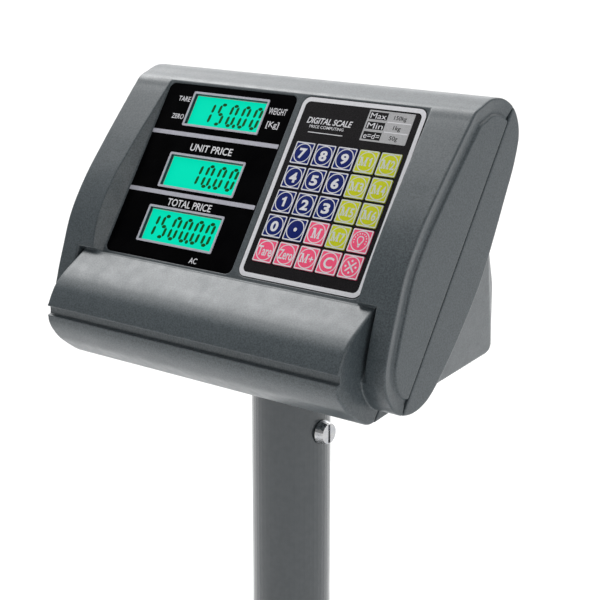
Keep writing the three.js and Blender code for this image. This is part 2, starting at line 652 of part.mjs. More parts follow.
// The hinge bracket: two ears and a stop wall on a base plate.
function hingeBracket() {
  const earShape = new THREE.Shape();
  const earHalf = 27;
  earShape.moveTo(-earHalf, BRACKET_Z);
  earShape.lineTo(earHalf, BRACKET_Z);
  earShape.lineTo(18, HINGE_Z);
  earShape.absarc(0, HINGE_Z, 18, 0, Math.PI);
  const ears = bothSides((side) => {
    const ends = [side * EAR_INSIDE, side * EAR_OUTSIDE].sort((a, b) => a - b);
    return sidewaysBar(earShape, ...ends);
  });
  const floor = block([-41, -31, BRACKET_Z], [41, 31, BRACKET_Z + 5]);
  const stopFront = -FOOT_HALF - 0.8;
  const stop = block(
    [-EAR_INSIDE - 1, stopFront - 4, BRACKET_Z],
    [EAR_INSIDE + 1, stopFront, HINGE_Z - 30],
  );
  const bore = rod(PIN_RADIUS + GAP, [-60, 0, HINGE_Z], [60, 0, HINGE_Z]);
  return without(union(floor, ears, stop), bore);
}

place(column, 'hinge_bracket', hingeBracket(), COLOURS.frame, 0.5, 0.4);

const pinShank = rod(PIN_RADIUS, [-EAR_OUTSIDE - 2, 0, HINGE_Z], [EAR_OUTSIDE + 14, 0, HINGE_Z]);
const pinHead = rod(10, [-EAR_OUTSIDE - 7, 0, HINGE_Z], [-EAR_OUTSIDE - 0.5, 0, HINGE_Z], 6);
place(column, 'hinge_pin', union(pinShank, pinHead), COLOURS.steel, 0.35, 1);

// A five-lobed knob that screws onto the pin and clamps the ears.
function foldKnob() {
  const start = EAR_OUTSIDE + 0.5;
  const hub = rod(11, [start, 0, HINGE_Z], [start + 8, 0, HINGE_Z]);
  const grip = rod(21, [start + 6, 0, HINGE_Z], [start + 20, 0, HINGE_Z], 30);
  const scallops = Array.from({ length: 5 }, (_, i) => {
    const angle = (i / 5) * 2 * Math.PI;
    const y = 25 * Math.cos(angle);
    const z = HINGE_Z + 25 * Math.sin(angle);
    return rod(9, [start, y, z], [start + 30, y, z], 16);
  });
  const bore = rod(PIN_RADIUS + GAP, [start - 1, 0, HINGE_Z], [EAR_OUTSIDE + 14.5, 0, HINGE_Z]);
  return without(union(hub, without(grip, ...scallops)), bore);
}

place(column, 'fold_knob', foldKnob(), COLOURS.black, 0.5);
const bubbleLevel = rod(8, [-52, 0, BRACKET_Z], [-52, 0, BRACKET_Z + 6]);
place(column, 'bubble_level', bubbleLevel, COLOURS.glass, 0.1);

// ---- Deck ----

const DECK_TRAVEL = 0.8;
const TRAY_BOTTOM = 66;
const TRAY_TOP = TRAY_BOTTOM + 6;
const DECK_SHEET = 1.5;

// A pressed tray with two stiffening rails; its pad stands over the load cell's front end.
function deckFrame() {
  const tray = block([-130, -180, TRAY_BOTTOM], [130, 180, TRAY_BOTTOM + 3]);
  const rails = [-110, 110].map((x) => {
    return block([x - 9, -175, TRAY_BOTTOM + 2], [x + 9, 175, TRAY_TOP]);
  });
  const ribs = [-165, 165].map((y) => {
    return block([-110, y - 9, TRAY_BOTTOM + 2], [110, y + 9, TRAY_TOP]);
  });
  const cellPad = block([-20, -74, CELL.top + DECK_TRAVEL + GAP], [20, -40, TRAY_BOTTOM + 1]);
  return union(tray, ...rails, ...ribs, cellPad);
}

place(base, 'deck_frame', deckFrame(), COLOURS.frame, 0.5, 0.4);

// The stainless deck is a shallow pan turned upside down over the tray.
function deckPlate() {
  const top = TRAY_TOP + GAP + DECK_SHEET;
  const skirt = 40;
  const shape = (inFromEdge) => {
    const x = DECK_WIDTH / 2 - inFromEdge;
    const y = DECK_LENGTH / 2 - inFromEdge;
    return roundedRectangle(-x, -y, x, y, 5 - inFromEdge);
  };
  return without(plate(shape(0), skirt, top), plate(shape(DECK_SHEET), skirt - 1, top - DECK_SHEET));
}

place(base, 'deck_plate', deckPlate(), COLOURS.steel, 0.3, 1);

export default scale;
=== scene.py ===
"""A price-computing column scale: the looks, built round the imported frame."""

import json
import math

import bmesh
import bpy
from mathutils import Matrix, Vector

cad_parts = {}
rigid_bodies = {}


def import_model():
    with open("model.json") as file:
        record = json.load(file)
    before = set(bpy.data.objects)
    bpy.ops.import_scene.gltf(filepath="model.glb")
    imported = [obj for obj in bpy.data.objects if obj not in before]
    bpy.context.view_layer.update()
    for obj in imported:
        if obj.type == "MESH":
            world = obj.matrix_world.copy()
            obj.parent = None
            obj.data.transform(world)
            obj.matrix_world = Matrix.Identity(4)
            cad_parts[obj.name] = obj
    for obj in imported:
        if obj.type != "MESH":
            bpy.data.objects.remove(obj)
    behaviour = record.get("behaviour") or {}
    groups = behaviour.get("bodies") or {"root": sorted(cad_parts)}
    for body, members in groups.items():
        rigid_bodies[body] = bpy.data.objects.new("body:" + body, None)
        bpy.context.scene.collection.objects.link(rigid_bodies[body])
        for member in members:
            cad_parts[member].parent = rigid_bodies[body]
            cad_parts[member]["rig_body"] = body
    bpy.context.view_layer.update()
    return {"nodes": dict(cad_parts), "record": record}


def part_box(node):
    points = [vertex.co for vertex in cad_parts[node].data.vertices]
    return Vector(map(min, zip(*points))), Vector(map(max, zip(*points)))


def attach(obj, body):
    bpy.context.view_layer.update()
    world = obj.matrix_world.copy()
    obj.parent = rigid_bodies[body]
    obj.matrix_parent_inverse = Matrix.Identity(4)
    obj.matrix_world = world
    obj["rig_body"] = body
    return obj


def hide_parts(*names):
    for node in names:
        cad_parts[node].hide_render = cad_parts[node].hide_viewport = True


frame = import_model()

MM = 0.001
FACE_TILT = math.radians(32.8)  # the face leans back from upright
KEY_PITCH = 16 * MM
KEY_SIZE = 14.5 * MM


def centre(node):
    low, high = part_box(node)
    return (low + high) / 2


def foot(node):
    """The middle of a node's underside, as a matrix."""
    middle = centre(node)
    return Matrix.Translation((middle.x, middle.y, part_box(node)[0].z))


def linked(name, data):
    """A new object in the scene."""
    piece = bpy.data.objects.new(name, data)
    bpy.context.scene.collection.objects.link(piece)
    return piece


COLUMN = centre("column_tube")
HEAD = Vector((COLUMN.x, COLUMN.y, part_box("column_tube")[1].z + 0.6 * MM))
# The face frame: x across, y up the slope, z out of the face, from the top line of the keys.
FACE_ORIGIN = HEAD + Vector((0, -14, 127)) * MM
FACE = Matrix.Translation(FACE_ORIGIN) @ Matrix.Rotation(math.pi / 2 - FACE_TILT, 4, "X")
# The customer's side: x to that reader's right, y up, z out of the back wall.
BACK_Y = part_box("customer_lens")[1].y
CUSTOMER = Matrix.Translation((0, BACK_Y, centre("customer_lens").z)) @ Matrix.Rotation(math.pi, 4, "Z")
CUSTOMER = CUSTOMER @ Matrix.Rotation(math.pi / 2, 4, "X")
# The same frames for shapes drawn in millimetres.
HEAD_MM = Matrix.Translation(HEAD) @ Matrix.Scale(MM, 4)
FACE_MM = FACE @ Matrix.Scale(MM, 4)


# ---- Materials ----


def linear(value):
    """A screen value from 0 to 255 as linear light."""
    return ((value / 255 + 0.055) / 1.055) ** 2.4 if value > 10 else value / 255 / 12.92


def rgb(red, green, blue):
    return (linear(red), linear(green), linear(blue), 1)


class Finish:
    """A procedural material: a Principled shader with colour, roughness and bump from noise."""

    def __init__(self, name, roughness=0.5, metallic=0.0):
        self.material = bpy.data.materials.new(name)
        self.material.use_nodes = True
        self.tree = self.material.node_tree
        self.shader = self.tree.nodes["Principled BSDF"]
        self.shader.inputs["Roughness"].default_value = roughness
        self.shader.inputs["Metallic"].default_value = metallic
        self.position = self.tree.nodes.new("ShaderNodeTexCoord").outputs["Object"]

    def noise(self, scale, detail=3.0, stretch=(1, 1, 1)):
        mapping = self.tree.nodes.new("ShaderNodeMapping")
        mapping.inputs["Scale"].default_value = stretch
        noise = self.tree.nodes.new("ShaderNodeTexNoise")
        noise.inputs["Scale"].default_value = scale
        noise.inputs["Detail"].default_value = detail
        self.tree.links.new(self.position, mapping.inputs["Vector"])
        self.tree.links.new(mapping.outputs["Vector"], noise.inputs["Vector"])
        return noise.outputs["Fac"]

    def colour(self, dark, light, scale, detail=3.0, stretch=(1, 1, 1), span=(0.35, 0.65)):
        ramp = self.tree.nodes.new("ShaderNodeValToRGB")
        for stop, place, tone in zip(ramp.color_ramp.elements, span, (dark, light)):
            stop.position, stop.color = place, tone
        self.tree.links.new(self.noise(scale, detail, stretch), ramp.inputs["Fac"])
        self.tree.links.new(ramp.outputs["Color"], self.shader.inputs["Base Color"])
        return self

    def rough(self, low, high, scale, stretch=(1, 1, 1)):
        spread = self.tree.nodes.new("ShaderNodeMapRange")
        spread.inputs["From Min"].default_value = 0.3
        spread.inputs["From Max"].default_value = 0.7
        spread.inputs["To Min"].default_value = low
        spread.inputs["To Max"].default_value = high
        self.tree.links.new(self.noise(scale, 2.0, stretch), spread.inputs["Value"])
        self.tree.links.new(spread.outputs["Result"], self.shader.inputs["Roughness"])
        return self

    def bump(self, scale, height, strength=1.0, detail=2.0, stretch=(1, 1, 1)):
        bump = self.tree.nodes.new("ShaderNodeBump")
        bump.inputs["Distance"].default_value = height
        bump.inputs["Strength"].default_value = strength
        self.tree.links.new(self.noise(scale, detail, stretch), bump.inputs["Height"])
        self.tree.links.new(bump.outputs["Normal"], self.shader.inputs["Normal"])
        return self

    def glow(self, colour, strength):
        self.shader.inputs["Emission Color"].default_value = colour
        self.shader.inputs["Emission Strength"].default_value = strength
        return self

    def coat(self, weight, roughness=0.05):
        self.shader.inputs["Coat Weight"].default_value = weight
        self.shader.inputs["Coat Roughness"].default_value = roughness
        return self


def plain(name, colour, roughness=0.5, metallic=0.0, grain=900, spread=0.12, bump=0.02 * MM, shine=0.5):
    """A painted, printed or moulded surface: a little uneven in colour, with a fine grain."""
    dark = tuple(v * (1 - spread) for v in colour[:3]) + (1,)
    light = tuple(min(1, v * (1 + spread)) for v in colour[:3]) + (1,)
    finish = Finish(name, roughness, metallic).colour(dark, light, grain)
    finish.shader.inputs["Specular IOR Level"].default_value = shine
    return finish.bump(grain, bump).rough(roughness * 0.9, roughness * 1.1, grain / 8).material


def housing_plastic():
    finish = Finish("housing_plastic").colour(rgb(56, 63, 67), rgb(78, 86, 90), 1050, 3.0)
    return finish.rough(0.3, 0.38, 120).bump(1200, 0.03 * MM, 0.45).material


def column_paint():
    finish = Finish("column_paint", 0.2, 0.2).colour(rgb(62, 67, 70), rgb(66, 71, 74), 240)
    return finish.rough(0.2, 0.26, 60).bump(900, 0.008 * MM, 0.2).coat(0.4).material


def powder_coat():
    finish = Finish("powder_coat", 0.45, 0.1).colour(rgb(66, 72, 76), rgb(82, 88, 92), 500)
    return finish.rough(0.38, 0.55, 140).bump(700, 0.06 * MM, 0.6).material


def brushed_stainless():
    along = (60, 0.15, 60)
    finish = Finish("brushed_stainless", 0.3, 1.0)
    finish.colour(rgb(176, 178, 180), rgb(206, 208, 210), 40, 3.0, along)
    return finish.rough(0.22, 0.36, 40, along).bump(40, 0.02 * MM, 0.35, 3.0, along).material


def plated_steel(name="plated_steel", shade=190):
    finish = Finish(name, 0.25, 1.0)
    finish.colour(rgb(shade - 14, shade - 12, shade - 8), rgb(shade, shade, shade), 300)
    return finish.rough(0.18, 0.32, 260).material


def black_gloss():
    finish = Finish("black_gloss", 0.2).colour(rgb(2, 2, 3), rgb(5, 5, 6), 60)
    finish.shader.inputs["Specular IOR Level"].default_value = 0.02
    return finish.rough(0.16, 0.24, 45).material


def film_black():
    finish = Finish("film_black", 0.42)
    finish.shader.inputs["Specular IOR Level"].default_value = 0.08
    finish.colour(rgb(10, 9, 11), rgb(40, 37, 40), 2600, 1.0, span=(0.42, 0.78))
    return finish.rough(0.36, 0.5, 300).bump(2000, 0.02 * MM, 0.4).material


def lcd_green():
    finish = Finish("lcd_green", 0.3).colour(rgb(0, 96, 78), rgb(0, 104, 86), 30)
    finish.shader.inputs["Specular IOR Level"].default_value = 0.03
    return finish.glow(rgb(0, 230, 188), 0.82).material


PLASTIC = housing_plastic()
COLUMN_PAINT = column_paint()
POWDER = powder_coat()
STAINLESS = brushed_stainless()
STEEL = plated_steel()
GLOSS = black_gloss()
FILM = film_black()
LCD = lcd_green()
TRIM = plain("light_grey_trim", rgb(172, 172, 182), 0.38, grain=700, spread=0.06)
WHITE = plain("white_print", rgb(214, 214, 218), 0.45, spread=0.04, shine=0.2)
DULL_WHITE = plain("dull_white_print", rgb(196, 202, 200), 0.45, spread=0.06, shine=0.2)
TABLE_GREY = plain("table_grey_print", rgb(170, 170, 172), 0.45, grain=2600, spread=0.16, shine=0.2)
# Black print; on the rear screw heads the same material is painted shade in place of the cross recesses.
PRINT_BLACK_AND_SHADE = plain("black_print_and_painted_shade", rgb(16, 16, 17), 0.45, shine=0.1)
SEGMENT = plain("lcd_segment", rgb(4, 84, 22), 0.5, spread=0.1, shine=0.1)
SHAFT = plain("window_shaft", rgb(44, 47, 60), 0.5, shine=0.2)
BLACK = plain("black_plastic", rgb(26, 26, 28), 0.42)
RUBBER = plain("rubber", rgb(28, 28, 28), 0.75, grain=500, bump=0.08 * MM)
BOARD = plain("circuit_board", rgb(34, 92, 52), 0.3)
ALUMINIUM = plated_steel("machined_aluminium", 214)
PINK_LINE = plain("lcd_edge_line", rgb(196, 120, 132), 0.5)
VIAL = plain("vial_green", rgb(150, 205, 60), 0.12, grain=200, spread=0.1, bump=0)
KEY_COLOURS = {
    "key_navy": plain("key_navy", rgb(2, 24, 98), 0.4, grain=1600, shine=0.12),
    "key_lime": plain("key_lime", rgb(192, 198, 26), 0.4, grain=1600, spread=0.08, shine=0.12),
    "key_pink": plain("key_pink", rgb(238, 84, 122), 0.4, grain=1600, spread=0.08, shine=0.12),
}
SLOTS = {node["node"]: node["material_slot"] for node in frame["record"]["subparts"]}


# ---- Meshes ----

CREASE = math.radians(30)  # faces that meet at a sharper angle keep a hard edge between them

def add_object(name, bm, materials, body, transform=None):
    """Turns a bmesh into a named piece that rides on a body."""
    mesh = bpy.data.meshes.new(name)
    if transform is not None:
        bmesh.ops.transform(bm, matrix=transform, verts=bm.verts)
    bmesh.ops.recalc_face_normals(bm, faces=bm.faces)
    bm.to_mesh(mesh)
    bm.free()
    for material in materials:
        mesh.materials.append(material)
    mesh.shade_smooth()
    mesh.set_sharp_from_angle(angle=CREASE)
    piece = linked(name, mesh)
    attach(piece, body)
    return piece


def prism(bm, outline, low, high, material=0, hole=None):
    """Adds a plate with the outline [(x, y)], from z = low to z = high; hole is an equally long outline."""

    def ring(points, z):
        return [bm.verts.new((x, y, z)) for x, y in points]

    bottom, top = ring(outline, low), ring(outline, high)
    faces = []
    count = len(outline)
    if hole is None:
        faces += [bm.faces.new(bottom[::-1]), bm.faces.new(top)]
    else:
        inner_bottom, inner_top = ring(hole, low), ring(hole, high)
    for i in range(count):
        j = (i + 1) % count
        faces.append(bm.faces.new((bottom[i], bottom[j], top[j], top[i])))
        if hole is not None:
            faces.append(bm.faces.new((inner_bottom[j], inner_bottom[i], inner_top[i], inner_top[j])))
            faces.append(bm.faces.new((top[i], top[j], inner_top[j], inner_top[i])))
            faces.append(bm.faces.new((bottom[j], bottom[i], inner_bottom[i], inner_bottom[j])))
    for face in faces:
        face.material_index = material
    return faces


def rounded(left, bottom, right, top, radius, steps=6):
    """A rectangle with round corners, as a list of points."""
    points = []
    middles = ((right - radius, top - radius), (left + radius, top - radius))
    middles += ((left + radius, bottom + radius), (right - radius, bottom + radius))
    for corner, (x, y) in enumerate(middles):
        for i in range(steps + 1):
            angle = (corner + i / steps) * math.pi / 2
            points.append((x + radius * math.cos(angle), y + radius * math.sin(angle)))
    return points


def rounded_mm(*sides_and_radius, steps=2):
    return rounded(*[v * MM for v in sides_and_radius], steps)


def circle(x, y, radius, steps=40):
    turn = [2 * math.pi * i / steps for i in range(steps)]
    return [(x + radius * math.cos(a), y + radius * math.sin(a)) for a in turn]


CAPITAL = 0.72  # a capital's height in the typeface, as a share of the type size


def lettering(bm, text, height, x, y, low, high, material=0, *, width, bold=0.0, shear=0.0):
    """Adds thin solid letters, their capitals of this height, centred on x and y and fitted to the width."""
    curve = bpy.data.curves.new("lettering", "FONT")
    curve.body = text
    curve.size = height / CAPITAL
    curve.offset = bold * height
    curve.shear = shear
    curve.resolution_u = 4
    curve.extrude = (high - low) / 2
    carrier = linked("lettering", curve)
    bpy.context.view_layer.update()
    mesh = bpy.data.meshes.new_from_object(carrier)
    bpy.data.objects.remove(carrier)
    places = [v.co.x for v in mesh.vertices]
    left, right = min(places), max(places)
    stretch = width / (right - left)
    mesh.transform(Matrix.Translation((-(left + right) / 2, -height / 2, (low + high) / 2)))
    mesh.transform(Matrix.Translation((x, y, 0)) @ Matrix.Diagonal((stretch, 1, 1, 1)))
    before = len(bm.faces)
    bm.from_mesh(mesh)
    bm.faces.ensure_lookup_table()
    for face in bm.faces[before:]:
        face.material_index = material
    bpy.data.meshes.remove(mesh)


def lathe(bm, profile, steps=64, material=0):
    """Turns a closed profile [(radius, height)] round the Z axis."""
    rings = []
    for i in range(steps):
        angle = 2 * math.pi * i / steps
        rings.append([bm.verts.new((r * math.cos(angle), r * math.sin(angle), z)) for r, z in profile])
    for i, ring in enumerate(rings):
        after = rings[(i + 1) % steps]
        for j in range(len(profile)):
            k = (j + 1) % len(profile)
            if profile[j][0] < 1e-9 and profile[k][0] < 1e-9:
                continue
            face = bm.faces.new((ring[j], after[j], after[k], ring[k]))
            face.material_index = material
    bmesh.ops.remove_doubles(bm, verts=bm.verts, dist=1e-7)


def soften(node, width, material):
    """Replaces a CAD node by the same solid with its sharp edges rounded."""
    bm = bmesh.new()
    bm.from_mesh(frame["nodes"][node].data)
    bmesh.ops.remove_doubles(bm, verts=bm.verts, dist=2e-6)
    bmesh.ops.dissolve_limit(bm, angle_limit=math.radians(1), verts=bm.verts, edges=bm.edges)
    least = math.radians(32)
    sharp = [e for e in bm.edges if len(e.link_faces) == 2 and e.calc_face_angle(0) > least]
    bmesh.ops.bevel(
        bm, geom=sharp, offset=width, segments=2, profile=0.5, affect="EDGES", clamp_overlap=True,
    )
    piece = add_object(node + "_body", bm, [material], frame["nodes"][node]["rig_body"])
    piece.data.transform(frame["nodes"][node].matrix_world)
    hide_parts(node)


def finish_node(node, material):
    """Gives a CAD node that stays in view its material."""
    mesh = frame["nodes"][node].data
    mesh.materials.clear()
    mesh.materials.append(material)
    mesh.shade_smooth()
    mesh.set_sharp_from_angle(angle=CREASE)


# ---- Moulded solids ----


def spline(points, closed=False, steps=12):
    """Points along a smooth curve through the given ones (centripetal Catmull-Rom)."""
    points = [Vector(p) for p in points]
    if closed:
        row = [points[-1], *points, points[0], points[1]]
    else:
        row = [2 * points[0] - points[1], *points, 2 * points[-1] - points[-2]]
    curve = []
    for before, start, stop, after in zip(row, row[1:], row[2:], row[3:]):
        t1 = (start - before).length ** 0.5
        t2 = t1 + (stop - start).length ** 0.5
        t3 = t2 + (after - stop).length ** 0.5
        for i in range(steps):
            t = t1 + (t2 - t1) * i / steps
            a1 = before.lerp(start, t / t1)
            a2 = start.lerp(stop, (t - t1) / (t2 - t1))
            a3 = stop.lerp(after, (t - t2) / (t3 - t2))
            curve.append(a1.lerp(a2, t / t2).lerp(a2.lerp(a3, (t - t1) / (t3 - t1)), (t - t1) / (t2 - t1)))
    if not closed:
        curve.append(points[-1])
    return [tuple(p) for p in curve]


def inset(outline, distance):
    """The anticlockwise outline moved inwards."""
    moved = []
    for i, (y, z) in enumerate(outline):
        y_before, z_before = outline[i - 1]
        y_after, z_after = outline[(i + 1) % len(outline)]
        along = Vector((y_after - y_before, z_after - z_before)).normalized()
        moved.append((y - distance * along.y, z + distance * along.x))
    return moved


def skin(sections):
    """A solid over outlines [(y, z)] with equal counts of points, each at its own x."""
    bm = bmesh.new()
    rings = [[bm.verts.new((x, y, z)) for y, z in outline] for outline, x in sections]
    for ring, after in zip(rings, rings[1:]):
        for i in range(len(ring)):
            j = (i + 1) % len(ring)
            bm.faces.new((ring[i], ring[j], after[j], after[i]))
    caps = [bm.faces.new(rings[0][::-1]), bm.faces.new(rings[-1])]
    bmesh.ops.triangulate(bm, faces=caps)
    return shape(bm, HEAD_MM)


def shape(bm, transform):
    """A bmesh as a loose object, for joining and cutting."""
    bm.transform(transform)
    bmesh.ops.recalc_face_normals(bm, faces=bm.faces)
    mesh = bpy.data.meshes.new("shape")
    bm.to_mesh(mesh)
    bm.free()
    return linked("shape", mesh)


def box_shape(low, high, transform=HEAD_MM):
    """A box between two corners, in the head's frame unless another is given."""
    bm = bmesh.new()
    bmesh.ops.create_cube(bm, size=1)
    for v in bm.verts:
        v.co = Vector([a + (b - a) * (c + 0.5) for a, b, c in zip(low, high, v.co)])
    return shape(bm, transform)


def plate_shape(outline, low, high, transform):
    """A prism as a loose object."""
    bm = bmesh.new()
    prism(bm, outline, low, high)
    return shape(bm, transform)


def evaluated_mesh(piece):
    return bpy.data.meshes.new_from_object(piece.evaluated_get(bpy.context.evaluated_depsgraph_get()))


ADD, CUT = "UNION", "DIFFERENCE"


def combined(base, steps):
    """The base shape after each (operation, shape) in turn; the shapes are used up."""
    for operation, other in steps:
        modifier = base.modifiers.new(operation, "BOOLEAN")
        modifier.operation = operation
        modifier.object = other
        modifier.solver = "MANIFOLD"
    mesh = evaluated_mesh(base)
    for _, other in steps:
        bpy.data.objects.remove(other)
    bpy.data.objects.remove(base)
    return mesh


def moulding(name, mesh, node, voxel, kept):
    """A solid as it comes out of a mould: every edge a little rounded, with this share of its faces kept."""
    piece = linked(name, mesh)
    remesh = piece.modifiers.new("remesh", "REMESH")
    remesh.mode = "VOXEL"
    remesh.voxel_size = voxel * MM
    relax = piece.modifiers.new("relax", "SMOOTH")
    relax.factor = 0.5
    relax.iterations = 2
    thin = piece.modifiers.new("thin", "DECIMATE")
    thin.ratio = kept
    piece.data = evaluated_mesh(piece)
    piece.modifiers.clear()
    piece.data.materials.clear()
    piece.data.materials.append(PLASTIC)
    piece.data.shade_smooth()
    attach(piece, "head")
    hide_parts(node)


# ---- Head, in millimetres ----

HALF = 133.5  # half the head's width
BAR_HALF = 116.8  # half the length of the bar below the face
CHEEK_INSIDE = 119.2  # the cheeks start here beside the bar
SPLIT = -33.0  # the housings part this far behind the face
SEAM = 0.7
FAR = 300  # beyond everything in the head, for cutting half spaces
PANEL_TOP, PANEL_BOTTOM, PANEL_HALF = 31.2, -92.5, 103.2  # the recessed panel in the face frame
RECESS_FLARE = 0.47  # the recess widens by this much for each millimetre of height
# Panels in the face frame: left, bottom, right, top.
LENS = (-102.1, -89.6, 4.3, 28.8)
OVERLAY = (9.9, -89.0, 101.9, 29.6)
LCD_LEFT, LCD_RIGHT = -79.2, -15.7
# For each display: window bottom and top, the number, and the digits' right end, bottom, height and pitch.
LCD_ROWS = {
    "weight_lcd": (0.5, 24.3, "150.00", -19.4, 3.9, 15.6, 9.9),
    "unit_price_lcd": (-42.4, -18.6, "10.00", -19.6, -38.2, 15.7, 9.9),
    "total_price_lcd": (-79.7, -55.2, "1500.00", -21.2, -75.6, 16.2, 9.4),
}
BACK_SCREWS = [(-106, 50), (106, 50), (-97, 127), (97, 127)]
# Turns a plate drawn in x and z, with its thickness from the back wall inwards, into the head frame.
BACK_PLATE = Matrix(((1, 0, 0, 0), (0, 0, -1, 50), (0, 1, 0, 0), (0, 0, 0, 1)))

# Side outlines of the head as (y, z), anticlockwise.
CHEEK = spline([
    (10, 156.1), (3.2, 153.3), (-2, 148), (-12, 136.8), (-33.2, 112.5), (-49.8, 92), (-62.8, 71),
    (-71, 49), (-76.2, 33), (-79.6, 18), (-77.5, 5), (-67.5, -7.5), (-54, -11), (-41, -8), (-30, 0),
    (-6, 26.5), (14, 54), (25, 75), (36, 98), (46, 120), (49.5, 137), (44, 150.2), (33, 157.4), (20, 159.2),
], closed=True)
BAR_TOP = spline([
    (-66.6, 50.9), (-69.5, 49.1), (-78.5, 43.4), (-84, 39.9), (-89, 36.1), (-93.8, 31.4), (-96.9, 26.6),
    (-99, 22.6), (-100.5, 19.2),
])
BAR_UNDER = spline([
    (-100.5, 13.4), (-100.2, 9.8), (-98.6, 5.8), (-95.4, 1), (-91.8, -3.2), (-87, -7.2), (-82, -10.9),
    (-76.3, -14.6), (-71.5, -16.4), (-64.6, -16.5),
])
RIM = spline([(50, 135), (48.4, 142.4), (44, 150.2), (33, 157.4), (20, 159.2), (8, 155.4)])
FACE_EDGES = [(2.9, 153.2), (-64.1, 49.2)]
GROOVE = [(-97.5, 18.6), (-97.5, 14.0)]
TAIL = [(-50, -14), (-40, -6), (-30, 0), (42, 0), (46.5, 1.5), (49, 4.5), (50, 9)]
MIDDLE = [*RIM, *FACE_EDGES, *BAR_TOP, *GROOVE, *BAR_UNDER, *TAIL]


def quarter_round(outline, end, radius, turn=1, steps=4):
    """Sections that round the edge at x = end; turn is 1 if the solid lies below it and -1 if above."""
    sections = []
    for i in range(steps + 1):
        angle = i / steps * math.pi / 2
        x = end - turn * radius * (1 - math.sin(angle))
        sections.append((inset(outline, radius * (1 - math.cos(angle))), x))
    return sections


def middle_bar():
    right = quarter_round(MIDDLE, BAR_HALF, 1.3)
    left = [(outline, -x) for outline, x in right[::-1]]
    return skin(left + right)


def cheek(side):
    """One cheek: rounded beside the bar, with a channel round the raised panel on its side."""
    inside = quarter_round(CHEEK, CHEEK_INSIDE, 1.6, turn=-1)[::-1]
    rim = [
        (0, HALF - 0.6), (0.3, HALF - 0.15), (0.8, HALF),
        (7.6, HALF - 1.4), (9.4, HALF - 1.4), (9.9, HALF - 0.2), (10.5, HALF),
    ]
    sections = inside + [(inset(CHEEK, d), x) for d, x in rim]
    if side < 0:
        sections = [(outline, -x) for outline, x in sections[::-1]]
    return skin(sections)


def recess():
    """The room in front of the panel, between flared walls."""
    bm = bmesh.new()
    tall = 60
    wide = PANEL_HALF + RECESS_FLARE * tall
    section = [(-PANEL_HALF, 0), (PANEL_HALF, 0), (wide, tall), (-wide, tall)]
    rings = [[bm.verts.new((x, v, n)) for x, n in section] for v in (PANEL_BOTTOM, PANEL_TOP)]
    bm.faces.new(rings[0])
    bm.faces.new(rings[1][::-1])
    for i in range(4):
        j = (i + 1) % 4
        bm.faces.new((rings[0][i], rings[0][j], rings[1][j], rings[1][i]))
    return shape(bm, FACE_MM)


def pocket(panel, corner, depth):
    """The pocket in the face that a panel lies in."""
    left, bottom, right, top = panel
    gap = 0.35
    outline = rounded(left - gap, bottom - gap, right + gap, top + gap, corner, 6)
    return plate_shape(outline, -depth, 10, FACE_MM)


def lcd_window(bottom, top):
    gap = 0.6
    low, high = (LCD_LEFT - gap, bottom - gap, -12), (LCD_RIGHT + gap, top + gap, 5)
    return box_shape(low, high, FACE_MM)


def front_housing():
    core = skin([(CHEEK, -CHEEK_INSIDE - 2), (CHEEK, CHEEK_INSIDE + 2)])
    mesh = combined(core, [
        (CUT, box_shape((-FAR, -FAR, -8), (FAR, PANEL_BOTTOM, FAR), FACE_MM)),
        (ADD, middle_bar()),
        (ADD, cheek(1)),
        (ADD, cheek(-1)),
        (CUT, box_shape((-FAR, -FAR, -FAR), (FAR, FAR, SPLIT), FACE_MM)),
        (CUT, recess()),
        (CUT, pocket(LENS, 4.3, 1.9)),
        (CUT, pocket(OVERLAY, 5.9, 1.5)),
        *[(CUT, lcd_window(bottom, top)) for bottom, top, *_ in LCD_ROWS.values()],
        (CUT, box_shape((16, -79.5, -6), (96.6, 1, 5), FACE_MM)),  # keys
    ])
    moulding("front_housing_moulding", mesh, "front_housing", voxel=0.45, kept=0.14)


# Half of the rear bulge's corners, as (x, y, z).
BULGE = [
    (132, -31, 0), (132, 22, 71), (119, 43, 0), (119, 46.5, 1.5), (118.6, 49, 4.5), (118.4, 50, 9),
    (118, 50, 40), (112, 50, 72), (104, 50, 135), (103.6, 48.4, 142.4), (103, 44, 149),
]


def bulge():
    bm = bmesh.new()
    for x, y, z in BULGE:
        bm.verts.new((x, y, z))
        bm.verts.new((-x, y, z))
    hull = bmesh.ops.convex_hull(bm, input=bm.verts)
    loose = [v for v in hull["geom_interior"] if isinstance(v, bmesh.types.BMVert)]
    bmesh.ops.delete(bm, geom=loose, context="VERTS")
    bmesh.ops.dissolve_limit(bm, angle_limit=math.radians(2), verts=bm.verts, edges=bm.edges)
    upright = [e for e in bm.edges if all(v.co.y > 49.9 and abs(v.co.x) > 100 for v in e.verts)]
    bmesh.ops.bevel(bm, geom=upright, offset=4, segments=4, profile=0.5, affect="EDGES", clamp_overlap=True)
    return shape(bm, HEAD_MM)


